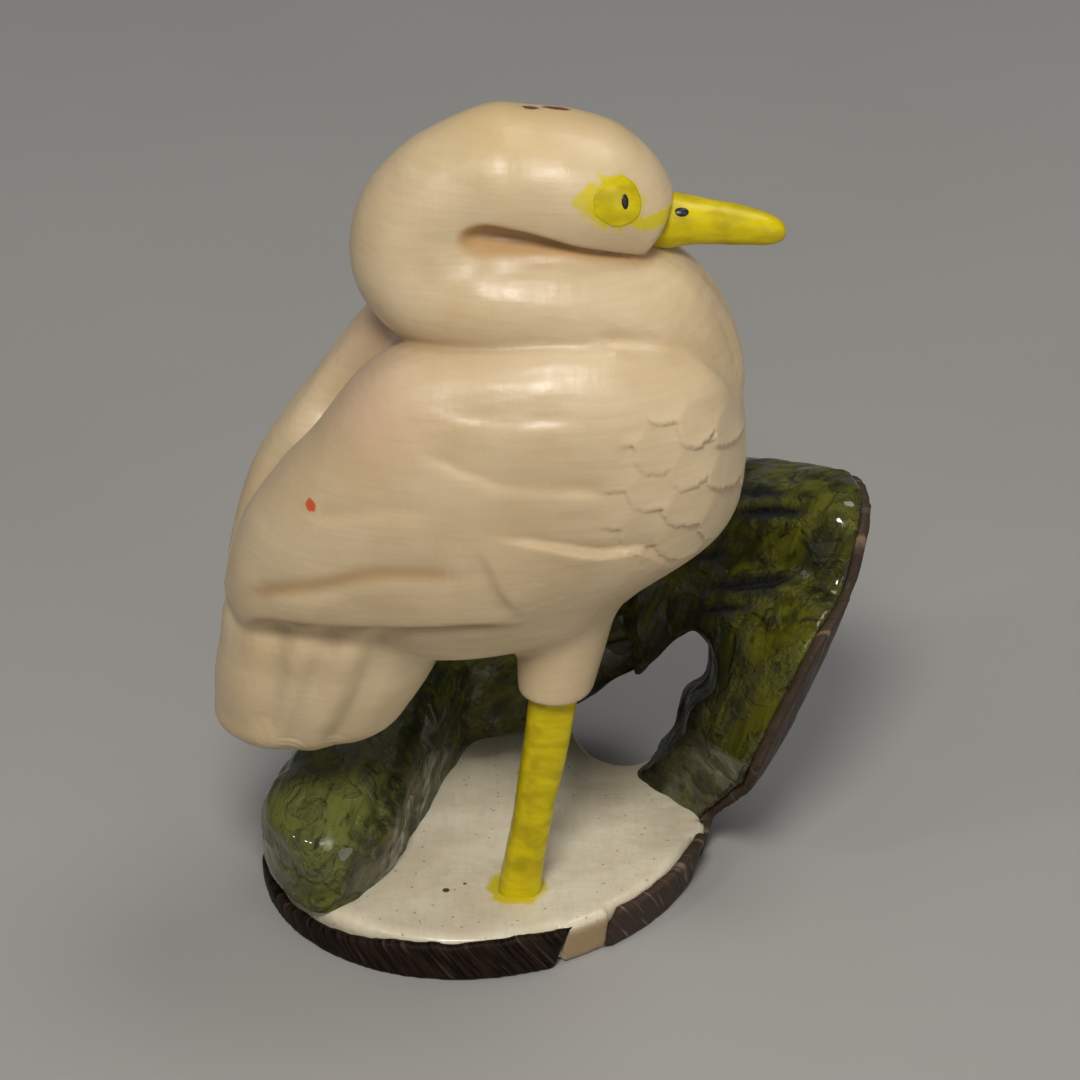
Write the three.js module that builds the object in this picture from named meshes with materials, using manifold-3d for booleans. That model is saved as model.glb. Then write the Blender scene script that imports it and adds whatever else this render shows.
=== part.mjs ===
// A carved and painted tagua-nut egret that rests on one leg, its neck folded into an S,
// on a slice of the nut, beside a log that arches over a pierced hole.
// Everything is cut from the egg-shaped outline of one nut. Millimetres, +Z up, beak towards +X,
// the bird's right side towards -Y. The origin is the centre of the underside of the whole object.

import * as THREE from "three";
import { mergeVertices } from "three/addons/utils/BufferGeometryUtils.js";
import Module from "manifold-3d";

// ---- Driving dimensions ---------------------------------------------------------------------

const GAP = 0.3; // clearance between neighbouring pieces
const NUT_TO_ORIGIN = [-4.5, -0.5, 0]; // moves the nut's own axis to the centred origin

const FLOOR_Z = 3.0; // top of the white floor
const COAT = 0.8; // thickness of the brown seed coat
const BIRD_Y = -6.5; // the bird's plane of symmetry

const LEG_FOOT = [2.8, -8.9];
const LEG_TOP = [5.1, -8.9];
const LEG_TOP_Z = 18.6;
const LEG_HALF_WIDTH = 1.6;
const LEG_SOCKET = 1.6; // how far the leg's peg goes up into the thigh
const FOOT_SOCKET = 1.2; // and down into the floor

const BEAK_ROOT_X = 11.9;
const BEAK_TIP_X = 19.5;
const BEAK_Z = 51.4;
const BEAK_PEG = 2.4; // length of the peg inside the head
const EYE_OUT = 4.35; // the eye's middle from the plane of symmetry
const EYE_RADIUS = 1.6;
const EYE_HEIGHT = 0.5;

// The nut's outline: height, centre x, centre y, half length in x, half width in y.
const NUT_SECTIONS = [
  [-0.5, 0.3, 0.0, 14.9, 15.2],
  [0.0, 0.3, 0.0, 15.1, 15.4],
  [3.0, 0.6, 0.3, 15.6, 15.8],
  [4.5, 1.0, 0.4, 16.2, 16.0],
  [6.5, 1.7, 0.6, 17.1, 16.4],
  [8.0, 2.2, 0.6, 17.8, 16.7],
  [11.0, 2.8, 0.7, 18.8, 17.0],
  [16.0, 3.3, 0.8, 20.3, 17.4],
  [21.5, 3.8, 0.8, 21.7, 17.6],
  [27.0, 4.1, 0.8, 22.4, 17.7],
  [33.0, 4.1, 0.8, 22.7, 17.7],
];
const NUT_LOPSIDED = 0.056; // share by which the outline is longer along its long axis
const NUT_LONG_AXIS = THREE.MathUtils.degToRad(47);

// ---- Solids ---------------------------------------------------------------------------------

const wasm = await Module();
wasm.setup();

function solid(geometry) {
  const bare = geometry.clone();
  bare.deleteAttribute("normal");
  bare.deleteAttribute("uv");
  const merged = mergeVertices(bare, 1e-4);
  return new wasm.Manifold(
    new wasm.Mesh({
      numProp: 3,
      vertProperties: new Float32Array(merged.attributes.position.array),
      triVerts: new Uint32Array(merged.index.array),
    }),
  );
}

function geometryOf(manifold) {
  const mesh = manifold.getMesh();
  const geometry = new THREE.BufferGeometry();
  geometry.setAttribute("position", new THREE.BufferAttribute(mesh.vertProperties, 3));
  geometry.setIndex(new THREE.BufferAttribute(mesh.triVerts, 1));
  geometry.computeVertexNormals();
  return geometry;
}

function box(low, high) {
  const size = high.map((value, axis) => value - low[axis]);
  const geometry = new THREE.BoxGeometry(...size);
  geometry.translate(...low.map((value, axis) => value + size[axis] / 2));
  return solid(geometry);
}

function ellipsoid(centre, radii, tilt = 0, across = 20, down = 12) {
  const geometry = new THREE.SphereGeometry(1, across, down);
  geometry.scale(...radii);
  geometry.rotateY(tilt);
  geometry.translate(...centre);
  return solid(geometry);
}

function ringOf(around, pointAt) {
  return Array.from({ length: around }, (_, index) => {
    const angle = (index / around) * 2 * Math.PI;
    return pointAt(Math.cos(angle), Math.sin(angle));
  });
}

// A closed body through rings of points, with one point closing each end.
function skinRings(rings, firstPole, lastPole) {
  const around = rings[0].length;
  const points = [firstPole, ...rings.flat(), lastPole];
  const lastPoint = points.length - 1;
  const triangles = [];
  for (let side = 0; side < around; side += 1) {
    const next = (side + 1) % around;
    triangles.push([0, 1 + next, 1 + side]);
    for (let ring = 0; ring + 1 < rings.length; ring += 1) {
      const low = 1 + ring * around;
      const high = low + around;
      triangles.push([low + side, low + next, high + next]);
      triangles.push([low + side, high + next, high + side]);
    }
    triangles.push([lastPoint - around + side, lastPoint - around + next, lastPoint]);
  }
  const volume = triangles.reduce(
    (sum, [a, b, c]) => sum + points[a].dot(points[b].clone().cross(points[c])),
    0,
  );
  const outward = volume > 0 ? triangles : triangles.map(([a, b, c]) => [a, c, b]);
  const geometry = new THREE.BufferGeometry();
  const flat = new Float32Array(points.flatMap((point) => point.toArray()));
  geometry.setAttribute("position", new THREE.BufferAttribute(flat, 3));
  geometry.setIndex(outward.flat());
  return solid(geometry);
}

// Sweeps an oval along a smooth spine. A station is [x, y, z, half width, half thickness].
// The frame gives the directions of the width and of the thickness for a tangent.
function sweep(stations, frame, steps, around = 18) {
  const spine = new THREE.CatmullRomCurve3(
    stations.map(([x, y, z]) => new THREE.Vector3(x, y, z)),
  );
  const sizes = new THREE.CatmullRomCurve3(
    stations.map(([, , , width, thickness]) => new THREE.Vector3(width, thickness, 0)),
  );
  const rings = [];
  for (let step = 1; step < steps; step += 1) {
    const centre = spine.getPoint(step / steps);
    const size = sizes.getPoint(step / steps);
    const [side, up] = frame(spine.getTangent(step / steps));
    rings.push(
      ringOf(around, (cosine, sine) =>
        centre
          .clone()
          .addScaledVector(side, size.x * cosine)
          .addScaledVector(up, size.y * sine),
      ),
    );
  }
  return skinRings(rings, spine.getPoint(0), spine.getPoint(1));
}

const ALONG_X = new THREE.Vector3(1, 0, 0);
const ALONG_Y = new THREE.Vector3(0, 1, 0);
const ALONG_Z = new THREE.Vector3(0, 0, 1);

const uprightFrame = () => [ALONG_Y, ALONG_Z];
const levelFrame = () => [ALONG_X, ALONG_Y];

function neckFrame(tangent) {
  return [ALONG_Y, new THREE.Vector3().crossVectors(ALONG_Y, tangent).normalize()];
}

function logFrame(tangent) {
  const side = new THREE.Vector3(tangent.y, -tangent.x, 0).normalize();
  return [side, new THREE.Vector3().crossVectors(side, tangent).normalize()];
}

// The nut's outline, grown or shrunk by an offset.
function nut(offset, around = 48) {
  const rings = NUT_SECTIONS.map(([z, x, y, halfX, halfY]) =>
    ringOf(around, (cosine, sine) => {
      const turn = 2 * (Math.atan2(sine, cosine) - NUT_LONG_AXIS);
      const reach = 1 + NUT_LOPSIDED * Math.cos(turn);
      return new THREE.Vector3(
        x + (halfX * reach + offset) * cosine,
        y + (halfY * reach + offset) * sine,
        z,
      );
    }),
  );
  const middle = ([z, x, y]) => new THREE.Vector3(x, y, z);
  return skinRings(rings, middle(NUT_SECTIONS[0]), middle(NUT_SECTIONS.at(-1)));
}

// A tapered peg that leans from one point to another, with flats as its sides.
function taperedPeg(low, high, lowRadius, highRadius, sides) {
  const height = high[2] - low[2];
  const geometry = new THREE.CylinderGeometry(highRadius, lowRadius, height, sides);
  geometry.rotateX(Math.PI / 2);
  geometry.translate(0, 0, height / 2);
  const lean = new THREE.Matrix4().set(
    1, 0, (high[0] - low[0]) / height, low[0],
    0, 1, (high[1] - low[1]) / height, low[1],
    0, 0, 1, low[2],
    0, 0, 0, 1,
  );
  geometry.applyMatrix4(lean);
  return solid(geometry);
}

// ---- The bird -------------------------------------------------------------------------------

// Torso between the wings, from rump to breast: x, y, z, half width, half height.
const TORSO = [
  [-13.5, BIRD_Y, 25.0, 0.6, 0.6],
  [-11.0, BIRD_Y, 27.0, 6.3, 5.0],
  [-6.0, BIRD_Y, 29.6, 8.4, 8.6],
  [0.0, BIRD_Y, 31.0, 9.0, 10.2],
  [6.0, BIRD_Y, 32.5, 9.2, 10.0],
  [11.0, BIRD_Y, 34.6, 8.4, 8.0],
  [14.5, BIRD_Y, 36.2, 6.0, 5.6],
  [16.8, BIRD_Y, 36.5, 0.6, 0.6],
];

// A folded wing, from its tips over the rump to the shoulder; y is the distance out from the
// plane of symmetry.
const WING = [
  [-16.2, 1.8, 26.0, 0.5, 0.6],
  [-14.6, 2.8, 28.0, 2.8, 4.2],
  [-11.0, 3.8, 31.0, 4.6, 6.5],
  [-6.0, 4.5, 34.4, 5.6, 9.4],
  [0.0, 4.9, 35.4, 5.9, 10.4],
  [6.0, 4.9, 37.0, 5.9, 9.7],
  [11.0, 4.3, 37.2, 5.6, 8.4],
  [14.6, 3.3, 37.2, 4.6, 6.7],
  [16.6, 2.2, 36.4, 2.4, 4.0],
  [17.3, 1.6, 36.0, 0.4, 0.4],
];

// The tail lobe, from the rump down: x, y, z, half length in x, half width in y.
const TAIL = [
  [-7.4, BIRD_Y, 29.0, 0.6, 0.6],
  [-8.2, BIRD_Y, 25.5, 7.2, 6.6],
  [-9.5, BIRD_Y, 21.0, 7.4, 6.6],
  [-10.7, BIRD_Y, 17.2, 6.6, 5.7],
  [-11.5, BIRD_Y, 15.0, 5.4, 4.4],
  [-12.0, BIRD_Y, 13.7, 0.8, 0.8],
];

// The folded neck, from behind the eyes back round the loop, forward over the shoulders and down
// into the breast: x, y, z, half width, half thickness.
const NECK = [
  [6.0, BIRD_Y, 54.4, 0.8, 0.8],
  [3.0, BIRD_Y, 54.3, 4.8, 4.6],
  [-0.8, BIRD_Y, 53.2, 4.8, 4.5],
  [-3.3, BIRD_Y, 50.9, 5.0, 4.2],
  [-2.9, BIRD_Y, 48.4, 5.8, 4.5],
  [1.0, BIRD_Y, 47.2, 6.7, 4.8],
  [6.0, BIRD_Y, 46.6, 7.0, 5.0],
  [10.2, BIRD_Y, 43.6, 7.0, 5.8],
  [11.3, BIRD_Y, 38.5, 6.2, 5.5],
  [10.5, BIRD_Y, 33.0, 0.8, 0.8],
];

// The head, from inside the loop of the neck to the root of the beak.
const HEAD = [
  [-1.0, BIRD_Y, 53.9, 0.6, 0.6],
  [0.6, BIRD_Y, 53.8, 4.0, 4.2],
  [3.0, BIRD_Y, 53.8, 4.9, 4.9],
  [5.3, BIRD_Y, 53.8, 5.1, 4.85],
  [7.2, BIRD_Y, 53.6, 5.0, 4.65],
  [8.8, BIRD_Y, 53.35, 4.65, 4.35],
  [10.2, BIRD_Y, 52.85, 4.0, 3.8],
  [11.4, BIRD_Y, 52.2, 3.3, 3.1],
  [12.2, BIRD_Y, 51.6, 2.5, 2.15],
  [12.75, BIRD_Y, 51.45, 0.3, 0.3],
];

// The solid web that closes the loop of the neck behind its carved slots.
const THROAT_CENTRE = [1.2, BIRD_Y, 50.3];
const THROAT_RADII = [5.4, 4.2, 3.0];

const mirrored = (stations, side) =>
  stations.map(([x, out, z, width, height]) => [x, BIRD_Y + side * out, z, width, height]);

function eye(side, grow) {
  const centre = [8.9, BIRD_Y + side * EYE_OUT, 54.7];
  const radii = [EYE_RADIUS + grow, EYE_HEIGHT + grow, EYE_RADIUS + grow];
  return ellipsoid(centre, radii, 0, 14, 8);
}

function beak(grow) {
  const start = BEAK_ROOT_X - BEAK_PEG;
  const stations = [
    [start - grow, BIRD_Y, BEAK_Z, 0.3, 0.3],
    [start + 0.4, BIRD_Y, BEAK_Z, 1.35 + grow, 1.3 + grow],
    [BEAK_ROOT_X, BIRD_Y, BEAK_Z, 1.7 + grow, 1.6 + grow],
    [14.4, BIRD_Y, BEAK_Z - 0.1, 1.5 + grow, 1.45 + grow],
    [17.0, BIRD_Y, BEAK_Z - 0.4, 1.2 + grow, 1.18 + grow],
    [BEAK_TIP_X - 0.6, BIRD_Y, BEAK_Z - 0.7, 0.8 + grow, 0.78 + grow],
    [BEAK_TIP_X, BIRD_Y, BEAK_Z - 0.8, 0.1, 0.1],
  ];
  return sweep(stations, uprightFrame, 12, 14);
}

function leg(grow) {
  const low = [LEG_FOOT[0], LEG_FOOT[1], FLOOR_Z - FOOT_SOCKET - grow];
  const high = [LEG_TOP[0], LEG_TOP[1], LEG_TOP_Z + LEG_SOCKET + grow];
  return taperedPeg(low, high, LEG_HALF_WIDTH - 0.15 + grow, LEG_HALF_WIDTH + grow, 8);
}

// The carved body without its head, grown by an amount, which also cuts its seat in the log.
function torso(amount) {
  return sweep(grown(TORSO, amount), uprightFrame, 16)
    .add(sweep(grown(mirrored(WING, -1), amount), uprightFrame, 18))
    .add(sweep(grown(mirrored(WING, 1), amount), uprightFrame, 18))
    .add(sweep(grown(TAIL, amount), levelFrame, 10));
}

function bird() {
  const thigh = taperedPeg(
    [LEG_TOP[0], LEG_TOP[1], LEG_TOP_Z],
    [LEG_TOP[0] + 0.9, LEG_TOP[1] + 0.6, 26.0],
    2.45,
    3.5,
    14,
  );
  const backValley = ellipsoid([-12.5, BIRD_Y, 43.5], [9.5, 2.6, 4.2], 0.95, 16, 10);
  return torso(0)
    .subtract(backValley)
    .add(sweep(NECK, neckFrame, 22))
    .add(ellipsoid(THROAT_CENTRE, THROAT_RADII))
    .add(sweep(HEAD, uprightFrame, 16, 20))
    .add(thigh)
    .subtract(beak(GAP))
    .subtract(leg(GAP))
    .subtract(eye(-1, GAP))
    .subtract(eye(1, GAP));
}

// ---- The log, the stand and the seed coat ---------------------------------------------------

// The log: a broad lobe at the left that runs back and rises to a pointed tip at the right.
const LOG = [
  [-12.2, -12.0, 4.2, 0.5, 0.5],
  [-11.3, -9.8, 4.4, 3.3, 3.3],
  [-10.2, -6.0, 5.3, 4.8, 4.5],
  [-8.5, -1.0, 6.0, 4.4, 4.8],
  [-7.1, 5.0, 6.9, 4.8, 5.2],
  [-3.5, 11.0, 8.2, 4.6, 5.4],
  [4.0, 14.4, 11.0, 4.8, 6.0],
  [11.0, 13.0, 15.4, 5.4, 5.6],
  [17.5, 9.8, 19.4, 5.6, 4.8],
  [23.0, 5.6, 22.2, 4.4, 4.1],
  [26.6, 3.6, 23.0, 3.8, 3.2],
  [29.6, 2.0, 23.8, 0.5, 0.5],
];

// Its lower front, above the hole.
const FLANK = [
  [-3.0, 9.5, 5.5, 1.0, 1.0],
  [0.0, 10.5, 6.0, 3.2, 3.2],
  [4.0, 12.0, 8.0, 4.0, 4.0],
  [8.0, 12.2, 10.5, 4.2, 4.0],
  [13.0, 11.5, 14.8, 4.0, 3.6],
  [16.5, 10.5, 17.5, 0.5, 0.5],
];

// Its right leg stands behind a front face that slants back from the nut's surface: height, x of
// the surface, y of the face there, x of the leg's inner side.
const BRANCH_FRONT = [
  [-1.0, 16.0, -0.6, 10.6],
  [3.0, 16.2, -1.2, 10.6],
  [5.5, 18.1, -6.0, 10.6],
  [9.0, 20.5, -9.5, 10.6],
  [13.0, 22.3, -9.5, 11.5],
  [17.0, 23.9, -7.0, 14.0],
  [20.5, 25.2, -2.5, 17.5],
  [22.5, 25.8, 0.5, 20.5],
];
const BRANCH_OUTER_X = 30.0;
const BRANCH_BACK_Y = 11.0;

// Outline of the pierced hole, x and z. It runs straight through along y.
const HOLE = [
  [7.0, 5.0],
  [8.4, 2.2],
  [12.2, 2.2],
  [14.0, 5.6],
  [15.7, 9.3],
  [15.5, 12.6],
  [14.0, 13.0],
  [10.9, 10.0],
  [8.3, 7.8],
];

// The bite that the hole takes out of the back edge of the floor, an oval in plan.
const BITE = { x: 10.0, y: 14.2, halfLength: 3.9, halfWidth: 7.8 };

// Where the coat lies round the rim and where it is worn to the bare nut, in degrees round the
// nut's axis from +X towards +Y.
const WORN = 0.3; // how far the bare nut lies below the coat's surface
const FRONT_COAT = [-172, -67];
const FRONT_BARE = [-66, -54];
const RIGHT_COAT = [-53, -10];
const RIGHT_BARE = [-9, -4];
const BACK_COAT = [-3, 187];
const WALL_ANGLES = [-45, 184];

function hole() {
  const corners = [...HOLE, HOLE[0]].map(([x, z]) => new THREE.Vector2(x, z));
  const outline = new THREE.SplineCurve(corners).getPoints(20).slice(0, -1);
  const geometry = new THREE.ExtrudeGeometry(new THREE.Shape(outline), {
    depth: 30,
    bevelEnabled: false,
  });
  geometry.rotateX(Math.PI / 2);
  geometry.translate(0, 22, 0);
  return solid(geometry);
}

function bite() {
  const geometry = new THREE.CylinderGeometry(1, 1, FLOOR_Z * 3, 24);
  geometry.rotateX(Math.PI / 2);
  geometry.scale(BITE.halfLength, BITE.halfWidth, 1);
  geometry.translate(BITE.x, BITE.y, 0);
  return solid(geometry);
}

function grown(stations, amount) {
  return stations.map(([x, y, z, width, thickness]) => [
    x,
    y,
    z,
    width + amount,
    thickness + amount,
  ]);
}

// The log's rear side runs out to the nut's surface: a second sweep, further back and lower.
const REAR = LOG.map(([x, y, z, width, height]) => [x + 0.6, y + 2.5, z - 3, width, height]);

// A slab of four corners at each height, whose front edge slants at 45 degrees in plan.
function branch() {
  const rings = BRANCH_FRONT.map(([z, surfaceX, frontY, innerX]) =>
    [
      [innerX, frontY + surfaceX - innerX],
      [BRANCH_OUTER_X, frontY + surfaceX - BRANCH_OUTER_X],
      [BRANCH_OUTER_X, BRANCH_BACK_Y],
      [innerX, BRANCH_BACK_Y],
    ].map(([x, y]) => new THREE.Vector3(x, y, z)),
  );
  const middle = (ring) =>
    ring.reduce((sum, point) => sum.add(point), new THREE.Vector3()).divideScalar(ring.length);
  return skinRings(rings, middle(rings[0]), middle(rings.at(-1)));
}

const logSolid = () =>
  sweep(LOG, logFrame, 26, 20)
    .add(sweep(REAR, logFrame, 20, 16))
    .add(sweep(FLANK, logFrame, 12, 16))
    .add(branch());

const WIDE = 60;
const aboveFloor = () => box([-WIDE, -WIDE, FLOOR_Z + GAP], [WIDE, WIDE, WIDE]);
const belowFloor = () => box([-WIDE, -WIDE, 0], [WIDE, WIDE, FLOOR_Z]);

function log() {
  return logSolid()
    .intersect(nut(-COAT - GAP))
    .intersect(aboveFloor())
    .subtract(hole())
    .subtract(torso(GAP));
}

// The white floor, which comes out to the rim where the coat has worn through.
function stand() {
  const bare = (angles) => nut(-WORN).intersect(wedge(...angles, 0, FLOOR_Z));
  return nut(-COAT - GAP)
    .intersect(belowFloor())
    .add(bare(FRONT_BARE))
    .add(bare(RIGHT_BARE))
    .subtract(bite())
    .subtract(leg(GAP));
}

// A wedge of space round the nut's axis, between two angles in degrees.
function wedge(from, to, low, high) {
  const steps = 8;
  const corners = [new THREE.Vector2(0, 0)];
  for (let step = 0; step <= steps; step += 1) {
    const angle = THREE.MathUtils.degToRad(from + ((to - from) * step) / steps);
    corners.push(new THREE.Vector2(WIDE * Math.cos(angle), WIDE * Math.sin(angle)));
  }
  const depth = high - low;
  const geometry = new THREE.ExtrudeGeometry(new THREE.Shape(corners), {
    depth,
    bevelEnabled: false,
  });
  geometry.translate(0, 0, low);
  return solid(geometry);
}

const skin = () => nut(0).subtract(nut(-COAT));
const rimCoat = (angles) => skin().intersect(wedge(...angles, 0, FLOOR_Z));

function wallCoat() {
  const wall = skin()
    .intersect(logSolid())
    .intersect(wedge(...WALL_ANGLES, FLOOR_Z / 2, WIDE));
  return rimCoat(BACK_COAT)
    .add(wall)
    .subtract(hole())
    .subtract(bite())
    .subtract(torso(GAP));
}

// ---- Assembly -------------------------------------------------------------------------------

const PAINT = {
  ivory: { color: 0xd8c7a2, roughness: 0.28, metalness: 0 },
  yellow: { color: 0xdccb0c, roughness: 0.4, metalness: 0 },
  green: { color: 0x46501a, roughness: 0.18, metalness: 0 },
  white: { color: 0xc4bda4, roughness: 0.4, metalness: 0 },
  coat: { color: 0x35251c, roughness: 0.55, metalness: 0 },
};

const PIECES = [
  ["bird_carving", bird(), PAINT.ivory],
  ["beak", beak(0), PAINT.yellow],
  ["eye_right", eye(-1, 0), PAINT.yellow],
  ["eye_left", eye(1, 0), PAINT.yellow],
  ["leg", leg(0), PAINT.yellow],
  ["log_arch", log(), PAINT.green],
  ["stand_floor", stand(), PAINT.white],
  ["seed_coat_front", rimCoat(FRONT_COAT), PAINT.coat],
  ["seed_coat_right", rimCoat(RIGHT_COAT), PAINT.coat],
  ["seed_coat_wall", wallCoat(), PAINT.coat],
];

const group = new THREE.Group();
group.name = "tagua_egret";
for (const [name, manifold, paint] of PIECES) {
  const mesh = new THREE.Mesh(geometryOf(manifold), new THREE.MeshStandardMaterial(paint));
  mesh.name = name;
  mesh.position.set(...NUT_TO_ORIGIN);
  group.add(mesh);
}

export default group;
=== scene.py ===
"""A carved and painted tagua-nut egret on one leg, beside a pierced log, on a slice of the nut.

The carving is shaped as clay is: rounded masses swept along their spines are blended, cut and
undercut as distance fields on a fine grid, turned into one mesh for each piece, and then tooled
with feather edges, grooves and chatter marks by moving its vertices.
All shapes are in millimetres in the nut's own frame, and are moved into the CAD's frame at the end.
"""

import itertools
import math

import bpy
import numpy as np
import openvdb
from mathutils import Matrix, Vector


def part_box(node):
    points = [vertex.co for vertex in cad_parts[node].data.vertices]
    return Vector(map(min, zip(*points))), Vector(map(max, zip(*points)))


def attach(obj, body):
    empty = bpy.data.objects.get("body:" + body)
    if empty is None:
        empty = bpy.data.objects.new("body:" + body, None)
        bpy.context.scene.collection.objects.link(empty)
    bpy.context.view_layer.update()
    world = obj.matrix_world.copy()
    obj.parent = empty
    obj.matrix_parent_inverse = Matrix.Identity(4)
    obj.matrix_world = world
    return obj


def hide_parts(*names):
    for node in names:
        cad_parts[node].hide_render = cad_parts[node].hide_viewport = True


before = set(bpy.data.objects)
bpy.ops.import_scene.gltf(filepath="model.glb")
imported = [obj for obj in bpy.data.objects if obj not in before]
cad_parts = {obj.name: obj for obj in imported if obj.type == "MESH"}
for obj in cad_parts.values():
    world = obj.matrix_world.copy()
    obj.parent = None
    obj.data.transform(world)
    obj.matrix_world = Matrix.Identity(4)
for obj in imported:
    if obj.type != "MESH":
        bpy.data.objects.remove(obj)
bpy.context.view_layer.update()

# ---- Where things are ------------------------------------------------------------------------

MM = 0.001
LEG_MIDDLE = (3.95, -8.9)  # middle of the leg in the nut's frame, x and y
leg_low, leg_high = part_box("leg")
NUT_TO_ROW = np.array(
    [
        (leg_low.x + leg_high.x) / 2 - LEG_MIDDLE[0] * MM,
        (leg_low.y + leg_high.y) / 2 - LEG_MIDDLE[1] * MM,
        0.0,
    ]
)
FLOOR_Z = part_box("stand_floor")[1].z / MM
BIRD_Y = -6.5  # the bird's plane of symmetry
COAT = 0.8  # thickness of the seed coat
COAT_RADIUS = 17.0  # about how far out it lies
WORN = 0.3  # how far the bare nut lies below the coat's surface

LEG_FOOT = (2.8, -8.9)
LEG_TOP = (5.1, -8.9)
LEG_TOP_Z = 18.6
EYE = (8.9, 4.35, 54.7)  # x, distance out from the plane of symmetry, z
EYE_RADIUS = 1.6
EYE_PROUD = 0.07  # how far the disc's paint stands out
PUPIL_FORWARD = 0.45
PUPIL_RADII = (0.25, 0.52)
PUPIL_PROUD = 0.13
NOSTRIL = (12.85, 1.2, 52.5)  # x, distance out, z
NOSTRIL_RADII = (0.48, 0.3, 0.14)
PLATE_VOXEL = 0.08
SIDES = (-1, "right"), (1, "left")  # towards -y and towards +y

# ---- Clay: distance fields on a grid ---------------------------------------------------------

BAND = 3.2  # distances are exact up to this far from a surface


def curve(stations, steps):
    """Points along a smooth curve through the stations, by Catmull-Rom, and its tangents."""
    stations = np.array(stations, float)
    ends = [2 * stations[0] - stations[1]], [2 * stations[-1] - stations[-2]]
    guide = np.concatenate([ends[0], stations, ends[1]])
    where = np.linspace(0, len(stations) - 1, steps + 1)
    first = np.minimum(where.astype(int), len(stations) - 2)
    t = (where - first)[:, None]
    a, b, c, d = (guide[first + step] for step in range(4))
    points = b + 0.5 * t * (c - a + t * (2 * a - 5 * b + 4 * c - d + t * (3 * (b - c) + d - a)))
    slope = 0.5 * (c - a + t * (2 * (2 * a - 5 * b + 4 * c - d) + 3 * t * (3 * (b - c) + d - a)))
    return points, slope


def unit(vectors):
    return vectors / np.maximum(np.linalg.norm(vectors, axis=-1, keepdims=True), 1e-9)


def upright_frame(tangents):
    return np.array([0.0, 1, 0]), np.array([0.0, 0, 1])


def level_frame(tangents):
    return np.array([1.0, 0, 0]), np.array([0.0, 1, 0])


def neck_frame(tangents):
    side = np.array([0.0, 1, 0])
    return side, unit(np.cross(side, tangents))


def log_frame(tangents):
    side = unit(np.stack([tangents[:, 1], -tangents[:, 0], 0 * tangents[:, 0]], 1))
    return side, unit(np.cross(side, tangents))


def skin_rings(rings):
    """Points and triangles of a closed body through rings of points, closed at each end."""
    count, around = rings.shape[:2]
    points = np.concatenate([rings.reshape(-1, 3), rings[:1].mean(1), rings[-1:].mean(1)])
    side = np.arange(around)
    after = (side + 1) % around
    first, last = count * around, count * around + 1
    low = (np.arange(count - 1) * around)[:, None]
    a, b, c, d = low + side, low + after, low + around + after, low + around + side
    walls = [np.stack([a, b, c], -1).reshape(-1, 3), np.stack([a, c, d], -1).reshape(-1, 3)]
    top = (count - 1) * around
    caps = [
        np.stack([0 * side + first, after, side], 1),
        np.stack([0 * side + last, top + side, top + after], 1),
    ]
    triangles = np.concatenate(walls + caps)
    corners = points[triangles]
    volume = np.einsum("ij,ij->i", corners[:, 0], np.cross(corners[:, 1], corners[:, 2])).sum()
    return points, triangles if volume > 0 else triangles[:, ::-1]


def sweep(stations, frame_of, steps=72, around=48, square=2.0):
    """A body swept along a smooth spine; a station is [x, y, z, half width, half thickness]."""
    points, slope = curve(stations, steps)
    side, up = frame_of(unit(slope[:, :3]))
    angle = np.linspace(0, 2 * math.pi, around, endpoint=False)
    across = np.sign(np.cos(angle)) * np.abs(np.cos(angle)) ** (2 / square)
    along = np.sign(np.sin(angle)) * np.abs(np.sin(angle)) ** (2 / square)
    width, height = np.maximum(points[:, 3:5], 0.02).T[..., None, None]
    side, up = (np.broadcast_to(way, (steps + 1, 3))[:, None] for way in (side, up))
    wide, high = side * width * across[None, :, None], up * height * along[None, :, None]
    return skin_rings(points[:, None, :3] + wide + high)


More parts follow.
